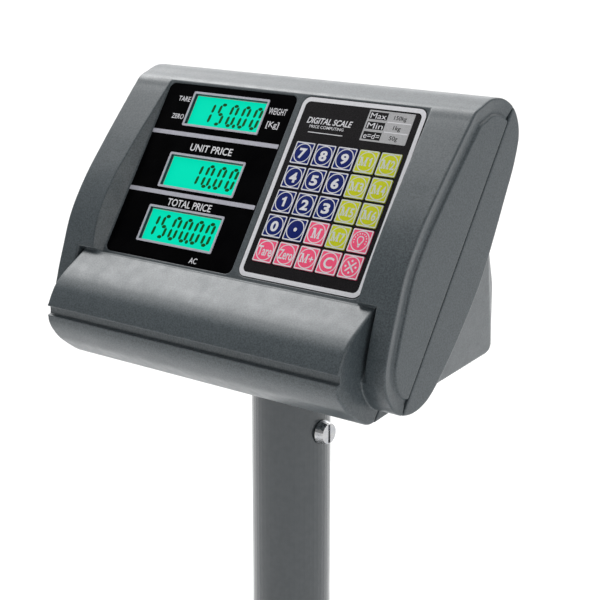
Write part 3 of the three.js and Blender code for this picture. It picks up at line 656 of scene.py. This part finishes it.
def rear_housing():
    right = quarter_round(CHEEK, HALF, 0.9)
    shell = skin([(outline, -x) for outline, x in right[::-1]] + right)
    far_behind = box_shape((-FAR, -FAR, -FAR), (FAR, FAR, -73), FACE_MM)
    lower = linked("shape", combined(middle_bar(), [(CUT, far_behind)]))
    stub = bmesh.new()
    prism(stub, circle(0, 0, 23.3), -20, 5)
    lens = plate_shape(rounded(-84.35, 41.65, 84.35, 118.35, 5.3, 6), -5, 1.95, HEAD_MM @ BACK_PLATE)
    vents = [box_shape((x - 1.2, 45, 12), (x + 1.2, 60, 32)) for x in range(-45, 50, 10)]
    sinks = [plate_shape(circle(x, z, 3.9), -5, 1.5, HEAD_MM @ BACK_PLATE) for x, z in BACK_SCREWS]
    mesh = combined(shell, [
        (ADD, lower),
        (ADD, bulge()),
        (CUT, box_shape((-FAR, -FAR, SPLIT - SEAM), (FAR, FAR, FAR), FACE_MM)),
        (CUT, lens),
        (CUT, box_shape((-76, 39, 50), (76, 60, 110))),  # customer's display
        (CUT, box_shape((-108, -10, -5), (-32, 42, 2.8))),  # battery cover
        (CUT, box_shape((-106.5, -9, -5), (-33.5, 40.5, 103))),  # battery
        (CUT, box_shape((62.2, -6.8, -5), (81.8, 6.8, 19))),  # power switch
        (CUT, box_shape((83.2, 28, 14.2), (106.8, 60, 29.8))),  # mains inlet
        (CUT, shape(stub, HEAD_MM)),
        *[(CUT, cut) for cut in vents + sinks],
    ])
    moulding("rear_housing_moulding", mesh, "rear_housing", voxel=0.6, kept=0.2)


def face_prints():
    """The lens's white words and the grey strips between its three displays."""
    words = bmesh.new()
    for text, width, height, x, y, bold in [
        ("TARE", 10.2, 3.5, -85.8, 18.7, 0.012), ("ZERO", 10.2, 3.4, -85.8, 6.3, 0.012),
        ("WEIGHT", 14.2, 4.5, -6.5, 17.4, 0.008), ("[Kg]", 9.8, 3.9, -6.6, 8.6, 0.008),
        ("UNIT PRICE", 35.2, 4.9, -47.2, -13.2, 0.016), ("TOTAL PRICE", 37.0, 4.8, -47.3, -51.4, 0.016),
        ("AC", 6.2, 3.7, -27.1, -86.0, 0.016),
    ]:
        lettering(words, text, height * MM, x * MM, y * MM, 0.02 * MM, 0.08 * MM, width=width * MM, bold=bold)
    add_object("display_words", words, [WHITE], "head", FACE)
    strips = bmesh.new()
    lens_left, lens_right = -102.0 * MM, 4.2 * MM
    for top in (-4.0 * MM, -44.7 * MM):
        prism(strips, rounded(lens_left, top - 2.8 * MM, lens_right, top, 0.3 * MM, 2), 0.01 * MM, 0.25 * MM)
    add_object("display_strips", strips, [TRIM], "head", FACE)


def inset_rectangle(left, bottom, right, top, by, radius):
    return rounded(left + by, bottom + by, right - by, top - by, radius, 3)


def frame_outlines(rectangle, outside, inside):
    """The outlines of a flat frame; outside and inside are each (inset, corner radius) in millimetres."""
    return [inset_rectangle(*rectangle, by * MM, radius * MM) for by, radius in (outside, inside)]


# The bars that are lit for each digit, lettered clockwise from the top with g in the middle.
SEGMENTS = {
    "0": "abcdef", "1": "bc", "2": "abged", "3": "abgcd", "4": "fgbc", "5": "afgcd",
    "6": "afgedc", "7": "abc", "8": "abcdefg", "9": "abfgcd",
}


def segment_outline(letter, width, height, stroke):
    """One bar of a seven-segment digit, with pointed ends, in the digit's own frame."""
    gap = stroke * 0.14
    half = stroke / 2
    across = {"a": height - half, "g": height / 2, "d": half}
    if letter in across:
        y = across[letter]
        left, right = half + gap, width - half - gap
        return [
            (left, y), (left + half, y - half), (right - half, y - half),
            (right, y), (right - half, y + half), (left + half, y + half),
        ]
    x = half if letter in "fe" else width - half
    low, high = (height / 2, height - half) if letter in "fb" else (half, height / 2)
    low, high = low + gap, high - gap
    return [
        (x, low), (x + half, low + half), (x + half, high - half),
        (x, high), (x - half, high - half), (x - half, low + half),
    ]


def display_digits(bm, number, right, bottom, height, pitch, low=0.0, high=0.05 * MM):
    """Adds the number as slanted seven-segment digits that end at x = right."""
    width, stroke, slant = height * 0.42, height * 0.135, 0.09
    cursor = right - width - slant * height
    for symbol in reversed(number):
        if symbol == ".":
            x, y = cursor + width + (pitch - width) / 2, bottom + stroke / 2
            prism(bm, circle(x, y, stroke * 0.62, 10), low, high)
            continue
        for letter in SEGMENTS[symbol]:
            points = segment_outline(letter, width, height, stroke)
            prism(bm, [(cursor + x + slant * y, bottom + y) for x, y in points], low, high)
        cursor -= pitch


LCD_FACE = -2.2 * MM  # the glass lies this far below the face


def display_windows():
    """Digits, a light rim in each opening, dark walls down to the glass and a pink line round it."""
    lift = FACE @ Matrix.Translation((0, 0, LCD_FACE + 0.02 * MM))
    for node, (bottom, top, number, *digits_place) in LCD_ROWS.items():
        finish_node(node, LCD)
        digits = bmesh.new()
        display_digits(digits, number, *[v * MM for v in digits_place])
        name = node.replace("_lcd", "")
        add_object(name + "_digits", digits, [SEGMENT], "head", lift)
        window = (LCD_LEFT * MM, bottom * MM, LCD_RIGHT * MM, top * MM)
        outer, inner = frame_outlines(window, (-0.15, 0.9), (1.25, 0.3))
        rim = bmesh.new()
        prism(rim, outer, 0.02 * MM, 0.4 * MM, hole=inner)
        inside, shaft = frame_outlines(window, (0.04, 0.5), (1.3, 0.3))
        prism(rim, inside, -2.1 * MM, 0.01 * MM, material=1, hole=shaft)
        add_object(name + "_window_rim", rim, [TRIM, SHAFT], "head", FACE)
        line = bmesh.new()
        outer, inner = frame_outlines(window, (1.35, 0.3), (1.7, 0.2))
        prism(line, outer, 0, 0.04 * MM, hole=inner)
        add_object(name + "_edge_line", line, [PINK_LINE], "head", lift)


# ---- Keys ----

KEY_FACE = 0.4 * MM  # the caps stand this far out of the face
KEY_ROWS = [
    [("key_7", "7"), ("key_8", "8"), ("key_9", "9"), ("key_m1", "M1"), ("key_m2", "M2")],
    [("key_4", "4"), ("key_5", "5"), ("key_6", "6"), ("key_m3", "M3"), ("key_m4", "M4")],
    [("key_1", "1"), ("key_2", "2"), ("key_3", "3"), ("key_m5", "M5"), ("key_m6", "M6")],
    [("key_0", "0"), ("key_point", "."), ("key_m", "M"), ("key_m7", "M7"), ("key_lamp", "lamp")],
    [
        ("key_tare", "Tare"), ("key_zero", "Zero"), ("key_m_plus", "M+"),
        ("key_clear", "C"), ("key_multiply", "x"),
    ],
]
KEYS_LEFT = 17.1 * MM  # the first column's left edge in the face frame


def slab_m(bm, x, y, width, height, low, high):
    """A capital M with slab serifs, drawn as flat strokes that overlap."""
    stem, slab = width * 0.17, height * 0.13
    bottom, top, half = y - height / 2, y + height / 2, width / 2
    left, right = x - half * 0.8, x + half * 0.8
    strokes = [
        [(left, bottom), (left + stem * 0.7, bottom), (left + stem * 0.7, top), (left, top)],
        [(right - stem, bottom), (right, bottom), (right, top), (right - stem, top)],
        [(left, top), (x - stem * 0.5, bottom), (x + stem * 0.3, bottom), (left + stem * 1.2, top)],
        [(x - stem * 0.3, bottom), (x + stem * 0.1, bottom), (right, top), (right - stem * 0.6, top)],
    ]
    for across, foot_y in ((-0.7, bottom), (0.66, bottom), (-0.76, top - slab), (0.76, top - slab)):
        serif_left, serif_right = x + half * (across - 0.3), x + half * (across + 0.3)
        under = [(serif_left, foot_y), (serif_right, foot_y)]
        strokes.append(under + [(serif_right, foot_y + slab), (serif_left, foot_y + slab)])
    for i, stroke in enumerate(strokes):
        prism(bm, stroke, low, high + i * 0.001 * MM, 1)


def numeral_one(bm, x, y, height, stem, low, high):
    """A 1 with a flag, drawn as one outline."""
    right, left, top = x + stem * 0.75, x - stem * 0.25, y + height / 2
    outline = [
        (left, y - height / 2), (right, y - height / 2), (right, top), (right - stem * 0.7, top),
        (left - stem * 0.35, top - height * 0.16), (left - stem * 0.8, top - height * 0.2),
        (left - stem * 0.8, top - height * 0.38), (left, top - height * 0.34),
    ]
    prism(bm, outline[::-1], low, high, 1)


def key_symbol(bm, symbol, x, y, low, high):
    """The pale sign in the middle of a key, as material 1."""
    style = dict(low=low, high=high, material=1)
    if symbol == ".":
        prism(bm, circle(x, y, 1.25 * MM, 16), low, high, 1)
    elif symbol == "lamp":
        half = [(1.7, 2.7), (2.5, 1.2), (2.1, -0.4), (1.1, -1.8), (1.0, -2.6)]
        bulb = [(0, 3.2), *[(-a, b) for a, b in half], *half[::-1]]
        outer = [(x + a * MM, y + b * MM) for a, b in bulb]
        inner = [(x + 0.72 * a * MM, y + (0.2 + 0.72 * b) * MM) for a, b in bulb]
        prism(bm, outer, low, high, 1, hole=inner)
        prism(bm, rounded(x - 0.7 * MM, y - 3.9 * MM, x + 0.7 * MM, y - 2.8 * MM, 0.3 * MM, 2), low, high, 1)
        for i in range(11):
            angle = math.radians(-20 + 22 * i)
            spot = (x + 4.3 * MM * math.cos(angle), y + 0.2 * MM + 4.3 * MM * math.sin(angle))
            prism(bm, circle(*spot, 0.42 * MM, 10), low, high, 1)
    elif symbol == "x":
        for turn in (math.pi / 4, -math.pi / 4):
            bar = rounded_mm(-4.3, -0.5, 4.3, 0.5, 0.3)
            c, s = math.cos(turn), math.sin(turn)
            prism(bm, [(x + c * a - s * b, y + s * a + c * b) for a, b in bar], low, high, 1)
        for dx, dy in ((0, 3.6), (0, -3.6), (3.6, 0), (-3.6, 0)):
            prism(bm, circle(x + dx * MM, y + dy * MM, 0.7 * MM, 12), low, high, 1)
    elif symbol == "1":
        numeral_one(bm, x, y, 6.2 * MM, 1.75 * MM, low, high)
    elif symbol == "M1":
        slab_m(bm, x - 2.0 * MM, y, 6.0 * MM, 5.6 * MM, low, high)
        numeral_one(bm, x + 3.0 * MM, y, 5.6 * MM, 1.0 * MM, low, high)
    elif symbol == "M":
        slab_m(bm, x, y, 6.6 * MM, 6.4 * MM, low, high)
    elif symbol.startswith("M"):
        slab_m(bm, x - 2.0 * MM, y, 6.0 * MM, 5.6 * MM, low, high)
        size = (3.4, 4.4) if symbol == "M+" else (2.9, 5.6)
        lettering(bm, symbol[1], size[1] * MM, x + 3.1 * MM, y, width=size[0] * MM, bold=0.03, **style)
    elif symbol == "C":
        lettering(bm, symbol, 6.8 * MM, x, y, width=6.8 * MM, bold=0.03, **style)
    elif symbol.isdigit():
        lettering(bm, symbol, 6.2 * MM, x, y, width=5.6 * MM, bold=0.055, **style)
    else:
        lettering(bm, symbol, 6.2 * MM, x, y, width=10.4 * MM, bold=0.02, **style)


def keycap(name, symbol, left, top):
    """A key: a cushioned cap with a printed white edge line, ring and sign."""
    bm = bmesh.new()
    low, high = -1.8 * MM, KEY_FACE
    body = prism(bm, rounded(left, top - KEY_SIZE, left + KEY_SIZE, top, 0.8 * MM, 4), low, high)
    edges = {e for f in body for e in f.edges if all(abs(v.co.z - high) < 1e-7 for v in e.verts)}
    bmesh.ops.bevel(bm, geom=list(edges), offset=0.3 * MM, segments=3, profile=0.6, affect="EDGES")
    print_low, print_high = high - 0.05 * MM, high + 0.03 * MM
    x, y = left + KEY_SIZE / 2, top - KEY_SIZE / 2
    square = (left, top - KEY_SIZE, left + KEY_SIZE, top)
    outer, inner = frame_outlines(square, (0.15, 0.7), (0.85, 0.5))
    prism(bm, outer, print_low, print_high, 1, hole=inner)
    prism(bm, circle(x, y, 6.35 * MM), print_low, print_high, 1, hole=circle(x, y, 5.75 * MM))
    key_symbol(bm, symbol, x, y, print_low, print_high)
    slot = SLOTS[name]
    ink = DULL_WHITE if slot == "key_lime" else WHITE
    piece = add_object(name + "_cap", bm, [KEY_COLOURS[slot], ink], name, FACE)
    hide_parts(name)


def keypad():
    finish_node("keypad_overlay", FILM)
    for row, names in enumerate(KEY_ROWS):
        for column, (name, symbol) in enumerate(names):
            keycap(name, symbol, KEYS_LEFT + column * KEY_PITCH, -row * KEY_PITCH)
    border = bmesh.new()
    left, bottom, right, top = [v * MM for v in OVERLAY]
    outer, inner = [
        rounded(left + by, bottom + by, right - by, top - by, radius, 8)
        for by, radius in ((0.1 * MM, 5.5 * MM), (2.9 * MM, 3.4 * MM))
    ]
    prism(border, outer, 0.01 * MM, 0.09 * MM, hole=inner)
    add_object("keypad_border", border, [WHITE], "head", FACE)


def spec_table():
    """Capacity, minimum load and division in a grey table, with a plain title beside it."""
    table = bmesh.new()
    low, high = 0, 0.05 * MM
    prism(table, rounded_mm(61.4, 5.7, 94.4, 25.6, 0.4), low, high)
    rows = [
        (24.6, 19.8, "Max", "150kg", 9.0), (18.2, 13.4, "Min", "1kg", 5.4), (11.8, 6.8, "e=d=", "50g", 6.0),
    ]
    for top, bottom, name, value, width in rows:
        middle = (top + bottom) / 2 * MM
        prism(table, rounded_mm(62.5, bottom, 75.6, top, 0.2), low, high + 0.02 * MM, 1)
        lettering(table, name, 3.7 * MM, 69.0 * MM, middle, high, high + 0.04 * MM, 2, width=11.4 * MM)
        raised = high + 0.03 * MM
        lettering(table, value, 2.7 * MM, 84.8 * MM, middle, low, raised, 1, width=width * MM, bold=0.012)
    for y in (12.6, 19.0):
        prism(table, rounded_mm(76.6, y - 0.3, 93.6, y + 0.3, 0.1), low, high + 0.02 * MM, 2)
    title = bmesh.new()
    heavy = dict(width=34 * MM, bold=0.025, shear=0.2)
    lettering(title, "DIGITAL SCALE", 4.0 * MM, 35.4 * MM, 14.7 * MM, low, high, **heavy)
    lettering(title, "PRICE COMPUTING", 1.9 * MM, 34.6 * MM, 10.7 * MM, low, high, width=26 * MM, bold=0.01)
    prism(title, rounded_mm(22.0, 6.6, 48.4, 7.1, 0.2), low, high)
    lift = FACE @ Matrix.Translation((0, 0, 0.02 * MM))
    add_object("spec_table_print", table, [TABLE_GREY, PRINT_BLACK_AND_SHADE, WHITE], "head", lift)
    add_object("title_print", title, [WHITE], "head", lift)


# ---- Customer's side and rear ----


def customer_side():
    """Three displays and their words on the customer's lens."""
    finish_node("customer_lens", GLOSS)
    finish_node("customer_lcd", LCD)
    glass, digits, rims, words = bmesh.new(), bmesh.new(), bmesh.new(), bmesh.new()
    for middle, number, text, width in [
        (-55, "150.00", "WEIGHT kg", 24), (0, "10.00", "UNIT PRICE", 26), (55, "1500.00", "TOTAL PRICE", 29),
    ]:
        window = [v * MM for v in (middle - 25, -9, middle + 25, 15)]
        prism(glass, inset_rectangle(*window, 0, 0.6 * MM), 0.02 * MM, 0.06 * MM)
        place = [v * MM for v in (middle + 20, -5, 16, 7.2)]
        display_digits(digits, number, *place, low=0.05 * MM, high=0.1 * MM)
        outer, inner = frame_outlines(window, (-0.4, 1.0), (0.7, 0.4))
        prism(rims, outer, 0.02 * MM, 0.3 * MM, hole=inner)
        style = dict(width=width * MM, bold=0.015)
        lettering(words, text, 3.6 * MM, middle * MM, -17 * MM, 0.02 * MM, 0.08 * MM, **style)
    for name, mesh, material in [
        ("glass", glass, LCD), ("digits", digits, SEGMENT), ("rims", rims, TRIM), ("words", words, WHITE),
    ]:
        add_object("customer_" + name, mesh, [material], "head", CUSTOMER)


def join(bm, other):
    """Adds another bmesh and uses it up."""
    carrier = bpy.data.meshes.new("part")
    other.to_mesh(carrier)
    other.free()
    bm.from_mesh(carrier)
    bpy.data.meshes.remove(carrier)


def screw(bm, place, radius):
    """A flat screw head with its cross recess shown as a flat cross of painted shade, drawn in millimetres
    with its face at z = 0.
    """
    turned = bmesh.new()
    lathe(turned, [(0, -1.6), (radius * 0.9, -1.6), (radius, -0.4), (radius * 0.86, 0), (0, 0)], 32)
    # The cross is a thin dark sheet on the head, painted shade standing for the shaded recess.
    for wide, tall in ((radius * 1.1, radius * 0.28), (radius * 0.28, radius * 1.1)):
        prism(turned, rounded(-wide / 2, -tall / 2, wide / 2, tall / 2, radius * 0.1, 2), -0.2, 0.02, 1)
    turned.transform(place)
    join(bm, turned)


def rear_details():
    """The housing screws and the rating plate."""
    screws = bmesh.new()
    outwards = Matrix.Rotation(math.pi, 4, "X")
    for x, z in BACK_SCREWS:
        screw(screws, HEAD_MM @ BACK_PLATE @ Matrix.Translation((x, z, 0.9)) @ outwards, 3.5)
    # The second material paints each screw's cross as painted shade.
    add_object("rear_screws", screws, [STEEL, PRINT_BLACK_AND_SHADE], "head")
    plate = bmesh.new()
    prism(plate, rounded_mm(68, -68, 108, -51, 1.2, steps=4), 0.02 * MM, 0.12 * MM)
    for text, height, y, width in [
        ("DIGITAL SCALE", 2.2, -55, 30), ("INPUT 100-240 V 50/60 Hz", 1.7, -60, 34),
        ("MAX 150 kg  d = 50 g", 1.7, -64.5, 30),
    ]:
        style = dict(width=width * MM, bold=0.01)
        lettering(plate, text, height * MM, 88 * MM, y * MM, 0.1 * MM, 0.16 * MM, 1, **style)
    add_object("rating_plate", plate, [TABLE_GREY, PRINT_BLACK_AND_SHADE], "head", CUSTOMER)


def mains_parts():
    """Metal pins in the inlet, and the off and on marks of the rocker."""
    finish_node("mains_inlet", BLACK)
    pins = bmesh.new()
    middle = centre("mains_inlet")
    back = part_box("mains_inlet")[1].y
    for side in (-4.3 * MM, 4.3 * MM):
        pin = bmesh.new()
        profile = [(0, 0), (1.3, 0), (1.3, 12.2), (0.8, 13.3), (0, 13.3)]
        lathe(pin, [(r * MM, h * MM) for r, h in profile], 20)
        root = Matrix.Translation((middle.x + side, back - 17 * MM, middle.z))
        pin.transform(root @ Matrix.Rotation(-math.pi / 2, 4, "X"))
        join(pins, pin)
    add_object("inlet_pins", pins, [STEEL], "head")
    finish_node("power_switch_body", BLACK)
    soften("power_rocker", 0.5 * MM, BLACK)
    marks = bmesh.new()
    prism(marks, rounded_mm(-4.6, -1.5, -4.0, 1.5, 0.2), 0, 0.06 * MM)
    prism(marks, circle(4.3 * MM, 0, 1.5 * MM, 24), 0, 0.06 * MM, hole=circle(4.3 * MM, 0, 0.95 * MM, 24))
    pivot = Matrix.Translation(HEAD + Vector((72, 0, 0)) * MM) @ Matrix.Rotation(math.radians(8), 4, "Y")
    place = pivot @ Matrix.Translation((0, 0, -3.63 * MM)) @ Matrix.Rotation(math.pi, 4, "X")
    add_object("rocker_marks", marks, [WHITE], "power_rocker", place)


def battery_parts():
    """The battery with its label, and the cover with ribs to push it by."""
    soften("battery", 2 * MM, BLACK)
    low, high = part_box("battery")
    label = bmesh.new()
    wide, tall = high.x - low.x, high.z - low.z
    prism(label, rounded(-wide * 0.4, -tall * 0.3, wide * 0.4, tall * 0.3, 2 * MM, 4), 0.02 * MM, 0.15 * MM)
    lettering(label, "6 V  4 Ah", 7 * MM, 0, 8 * MM, 0.12 * MM, 0.2 * MM, 1, width=40 * MM, bold=0.02)
    lettering(label, "SEALED BATTERY", 3.4 * MM, 0, -8 * MM, 0.12 * MM, 0.2 * MM, 1, width=42 * MM, bold=0.02)
    turn = Matrix.Rotation(math.pi, 4, "Z") @ Matrix.Rotation(math.pi / 2, 4, "X")
    place = Matrix.Translation(((low.x + high.x) / 2, high.y, (low.z + high.z) / 2)) @ turn
    add_object("battery_label", label, [TABLE_GREY, PRINT_BLACK_AND_SHADE], "head", place)
    soften("battery_cover", 0.4 * MM, PLASTIC)
    low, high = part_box("battery_cover")
    ribs = bmesh.new()
    for i in range(6):
        x = low.x + 14 * MM + i * 4 * MM
        rib = rounded(x, low.y + 10 * MM, x + 1.6 * MM, high.y - 10 * MM, 0.7 * MM, 3)
        prism(ribs, rib, low.z - 0.5 * MM, low.z + 0.2 * MM)
    add_object("battery_cover_grip", ribs, [PLASTIC], "battery_cover")


def board_parts():
    """Chips and capacitors on the boards."""
    for board in ("keypad_board", "main_board"):
        finish_node(board, BOARD)
    finish_node("buzzer", BLACK)
    soften("transformer", 1 * MM, STEEL)
    parts = bmesh.new()
    top = -14.3 * MM
    for x, y, wide, tall in [
        (-60, -10, 14, 14), (-30, -30, 10, 8), (10, -20, 12, 12),
        (40, -50, 16, 6), (-70, -55, 8, 20), (0, -60, 20, 7),
    ]:
        prism(parts, rounded_mm(x, y, x + wide, y + tall, 0.4), top, top + 1.6 * MM)
    for x, y in [(75, -20), (75, -32), (62, -66), (-85, -20)]:
        prism(parts, circle(x * MM, y * MM, 3.4 * MM, 24), top, top + 6 * MM, 1)
    add_object("board_components", parts, [BLACK, ALUMINIUM], "head", FACE)


# ---- Column, base and deck ----


THREAD_PITCH = 1.25  # millimetres


def levelling_feet():
    """A rubber pad on a plated stud with a lock nut."""
    for node in frame["nodes"]:
        if not node.startswith("levelling_foot"):
            continue
        piece = bmesh.new()
        pad = [(0, 0), (15.6, 0), (17, 1.2), (17, 5.6), (15.8, 7), (13.2, 7.4), (7.4, 11.4), (5, 12), (0, 12)]
        lathe(piece, [(r * MM, z * MM) for r, z in pad], 48)
        stud = [(0, 11.5), (4, 11.5), (4, 42), (3.2, 43), (0, 43)]
        lathe(piece, [(r * MM, z * MM) for r, z in stud], 24, 1)
        for i in range(20):
            z = 18.5 + THREAD_PITCH * i
            thread = [(3.7, z - 0.35), (4.12, z), (3.7, z + 0.35)]
            lathe(piece, [(r * MM, h * MM) for r, h in thread], 24, 1)
        prism(piece, circle(0, 0, 7 * MM, 6), 12.2 * MM, 16.6 * MM, 1)
        body = frame["nodes"][node]["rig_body"]
        turned = add_object(node + "_turned", piece, [RUBBER, STEEL], body, foot(node))
        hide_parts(node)


def bracket_bolts():
    """Four hex bolts on washers that hold the hinge bracket down."""
    bolts = bmesh.new()
    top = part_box("hinge_bracket")[0].z + 5 * MM
    for x in (-14, 14):
        for y in (-3, 21):
            prism(bolts, circle(x * MM, y * MM, 7 * MM, 32), top - 0.5 * MM, top + 1.2 * MM)
            prism(bolts, circle(x * MM, y * MM, 5.4 * MM, 6), top + 1 * MM, top + 5 * MM)
            prism(bolts, circle(x * MM, y * MM, 4.2 * MM, 24), top + 4.9 * MM, top + 5.3 * MM)
    place = Matrix.Translation((0, centre("hinge_bracket").y, 0))
    body = frame["nodes"]["hinge_bracket"]["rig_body"]
    add_object("bracket_bolts", bolts, [STEEL], body, place)


def bubble_level():
    """A spirit level: a metal cup with a green window, a black ring on it and a bubble."""
    low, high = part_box("bubble_level")
    cup = bmesh.new()
    tall = (high.z - low.z) / MM
    wall = [
        (0, 0), (7.6, 0), (8, 0.4), (8, tall - 0.4),
        (7.6, tall), (6.2, tall), (6.2, tall - 0.8), (0, tall - 0.8),
    ]
    window = [(0, tall - 1), (6.1, tall - 1), (6.1, tall - 0.3), (0, tall - 0.1)]
    lathe(cup, wall, 48)
    lathe(cup, window, 48, 1)
    prism(cup, circle(0, 0, 2.6), tall - 0.2, tall - 0.04, 2, hole=circle(0, 0, 2.2))
    prism(cup, circle(0.4, 0.3, 1.5), tall - 0.2, tall - 0.02, 3)
    place = foot("bubble_level") @ Matrix.Scale(MM, 4)
    materials = [STEEL, VIAL, PRINT_BLACK_AND_SHADE, WHITE]
    piece = add_object("bubble_level_cup", cup, materials, "base", place)
    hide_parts("bubble_level")


front_housing()
rear_housing()
finish_node("display_lens", GLOSS)
face_prints()
display_windows()
keypad()
spec_table()
customer_side()
rear_details()
mains_parts()
battery_parts()
board_parts()
for part, material in [
    ("swivel_stub", STEEL), ("column_tube", COLUMN_PAINT), ("head_clamp_screw", STEEL), ("hinge_pin", STEEL),
]:
    finish_node(part, material)
for part, width, material in [
    ("column_foot", 1.2, POWDER), ("fold_knob", 1.0, BLACK), ("hinge_bracket", 0.5, POWDER),
    ("base_frame", 0.4, POWDER), ("deck_frame", 0.4, POWDER), ("load_cell", 0.6, ALUMINIUM),
    ("deck_plate", 0.6, STAINLESS),
]:
    soften(part, width * MM, material)
bracket_bolts()
levelling_feet()
bubble_level()


# ---- Stage ----


def floor():
    """A pale floor, far wider than any view of the scale."""
    bm = bmesh.new()
    reach = 30
    bm.faces.new([bm.verts.new((x * reach, y * reach, 0)) for x, y in ((-1, -1), (1, -1), (1, 1), (-1, 1))])
    mesh = bpy.data.meshes.new("floor")
    bm.to_mesh(mesh)
    bm.free()
    mesh.materials.append(plain("floor_paint", rgb(244, 244, 244), 0.8, grain=3, spread=0.01, bump=0))
    linked("floor", mesh)


def softbox(name, place, target, width, height, power):
    light = bpy.data.lights.new(name, "AREA")
    light.shape = "RECTANGLE"
    light.size, light.size_y = width, height
    light.energy = power
    lamp = linked(name, light)
    lamp.location = place
    lamp.rotation_euler = (Vector(target) - Vector(place)).to_track_quat("-Z", "Y").to_euler()


def surroundings():
    """A white room, brightest overhead, behind the scale and a little to the operator's left."""
    world = bpy.data.worlds.new("surroundings")
    world.use_nodes = True
    tree = world.node_tree
    direction = tree.nodes.new("ShaderNodeTexCoord").outputs["Generated"]
    towards = tree.nodes.new("ShaderNodeVectorMath")
    towards.operation = "DOT_PRODUCT"
    towards.inputs[1].default_value = Vector((-0.3, 0.55, 0.8)).normalized()
    spread = tree.nodes.new("ShaderNodeMapRange")
    spread.inputs["From Min"].default_value = 0.45
    spread.inputs["From Max"].default_value = 1.0
    spread.inputs["To Min"].default_value = 0.33
    spread.inputs["To Max"].default_value = 2.8
    tree.links.new(direction, towards.inputs[0])
    tree.links.new(towards.outputs["Value"], spread.inputs["Value"])
    # Seen past the floor's edge, the room is as pale as the floor.
    pale = tree.nodes.new("ShaderNodeMix")
    pale.inputs["B"].default_value = 1.0
    tree.links.new(tree.nodes.new("ShaderNodeLightPath").outputs["Is Camera Ray"], pale.inputs["Factor"])
    tree.links.new(spread.outputs["Result"], pale.inputs["A"])
    tree.links.new(pale.outputs["Result"], tree.nodes["Background"].inputs["Strength"])
    tree.nodes["Background"].inputs["Color"].default_value = (1, 1, 1, 1)
    bpy.context.scene.world = world
    bpy.context.scene.view_settings.view_transform = "Standard"


def photo_camera():
    """A long lens from the operator's right, a little above the head."""
    camera = bpy.data.cameras.new("camera")
    camera.lens = 97.4
    camera.sensor_width = 36
    camera.clip_end = 100
    eye = linked("camera", camera)
    eye.location = HEAD + Vector((637.7, -760.1, 283.4)) * MM
    forward = Vector((-0.6173, 0.7443, -0.2545))
    eye.rotation_euler = forward.to_track_quat("-Z", "Y").to_euler()
    bpy.context.scene.camera = eye


floor()
surroundings()
softbox("key_light", HEAD + Vector((-1.2, 0.2, 1.5)), HEAD, 1.0, 0.8, 15)
softbox("side_light", HEAD + Vector((1.7, -0.25, 0.5)), HEAD, 0.6, 0.6, 3.5)
photo_camera()
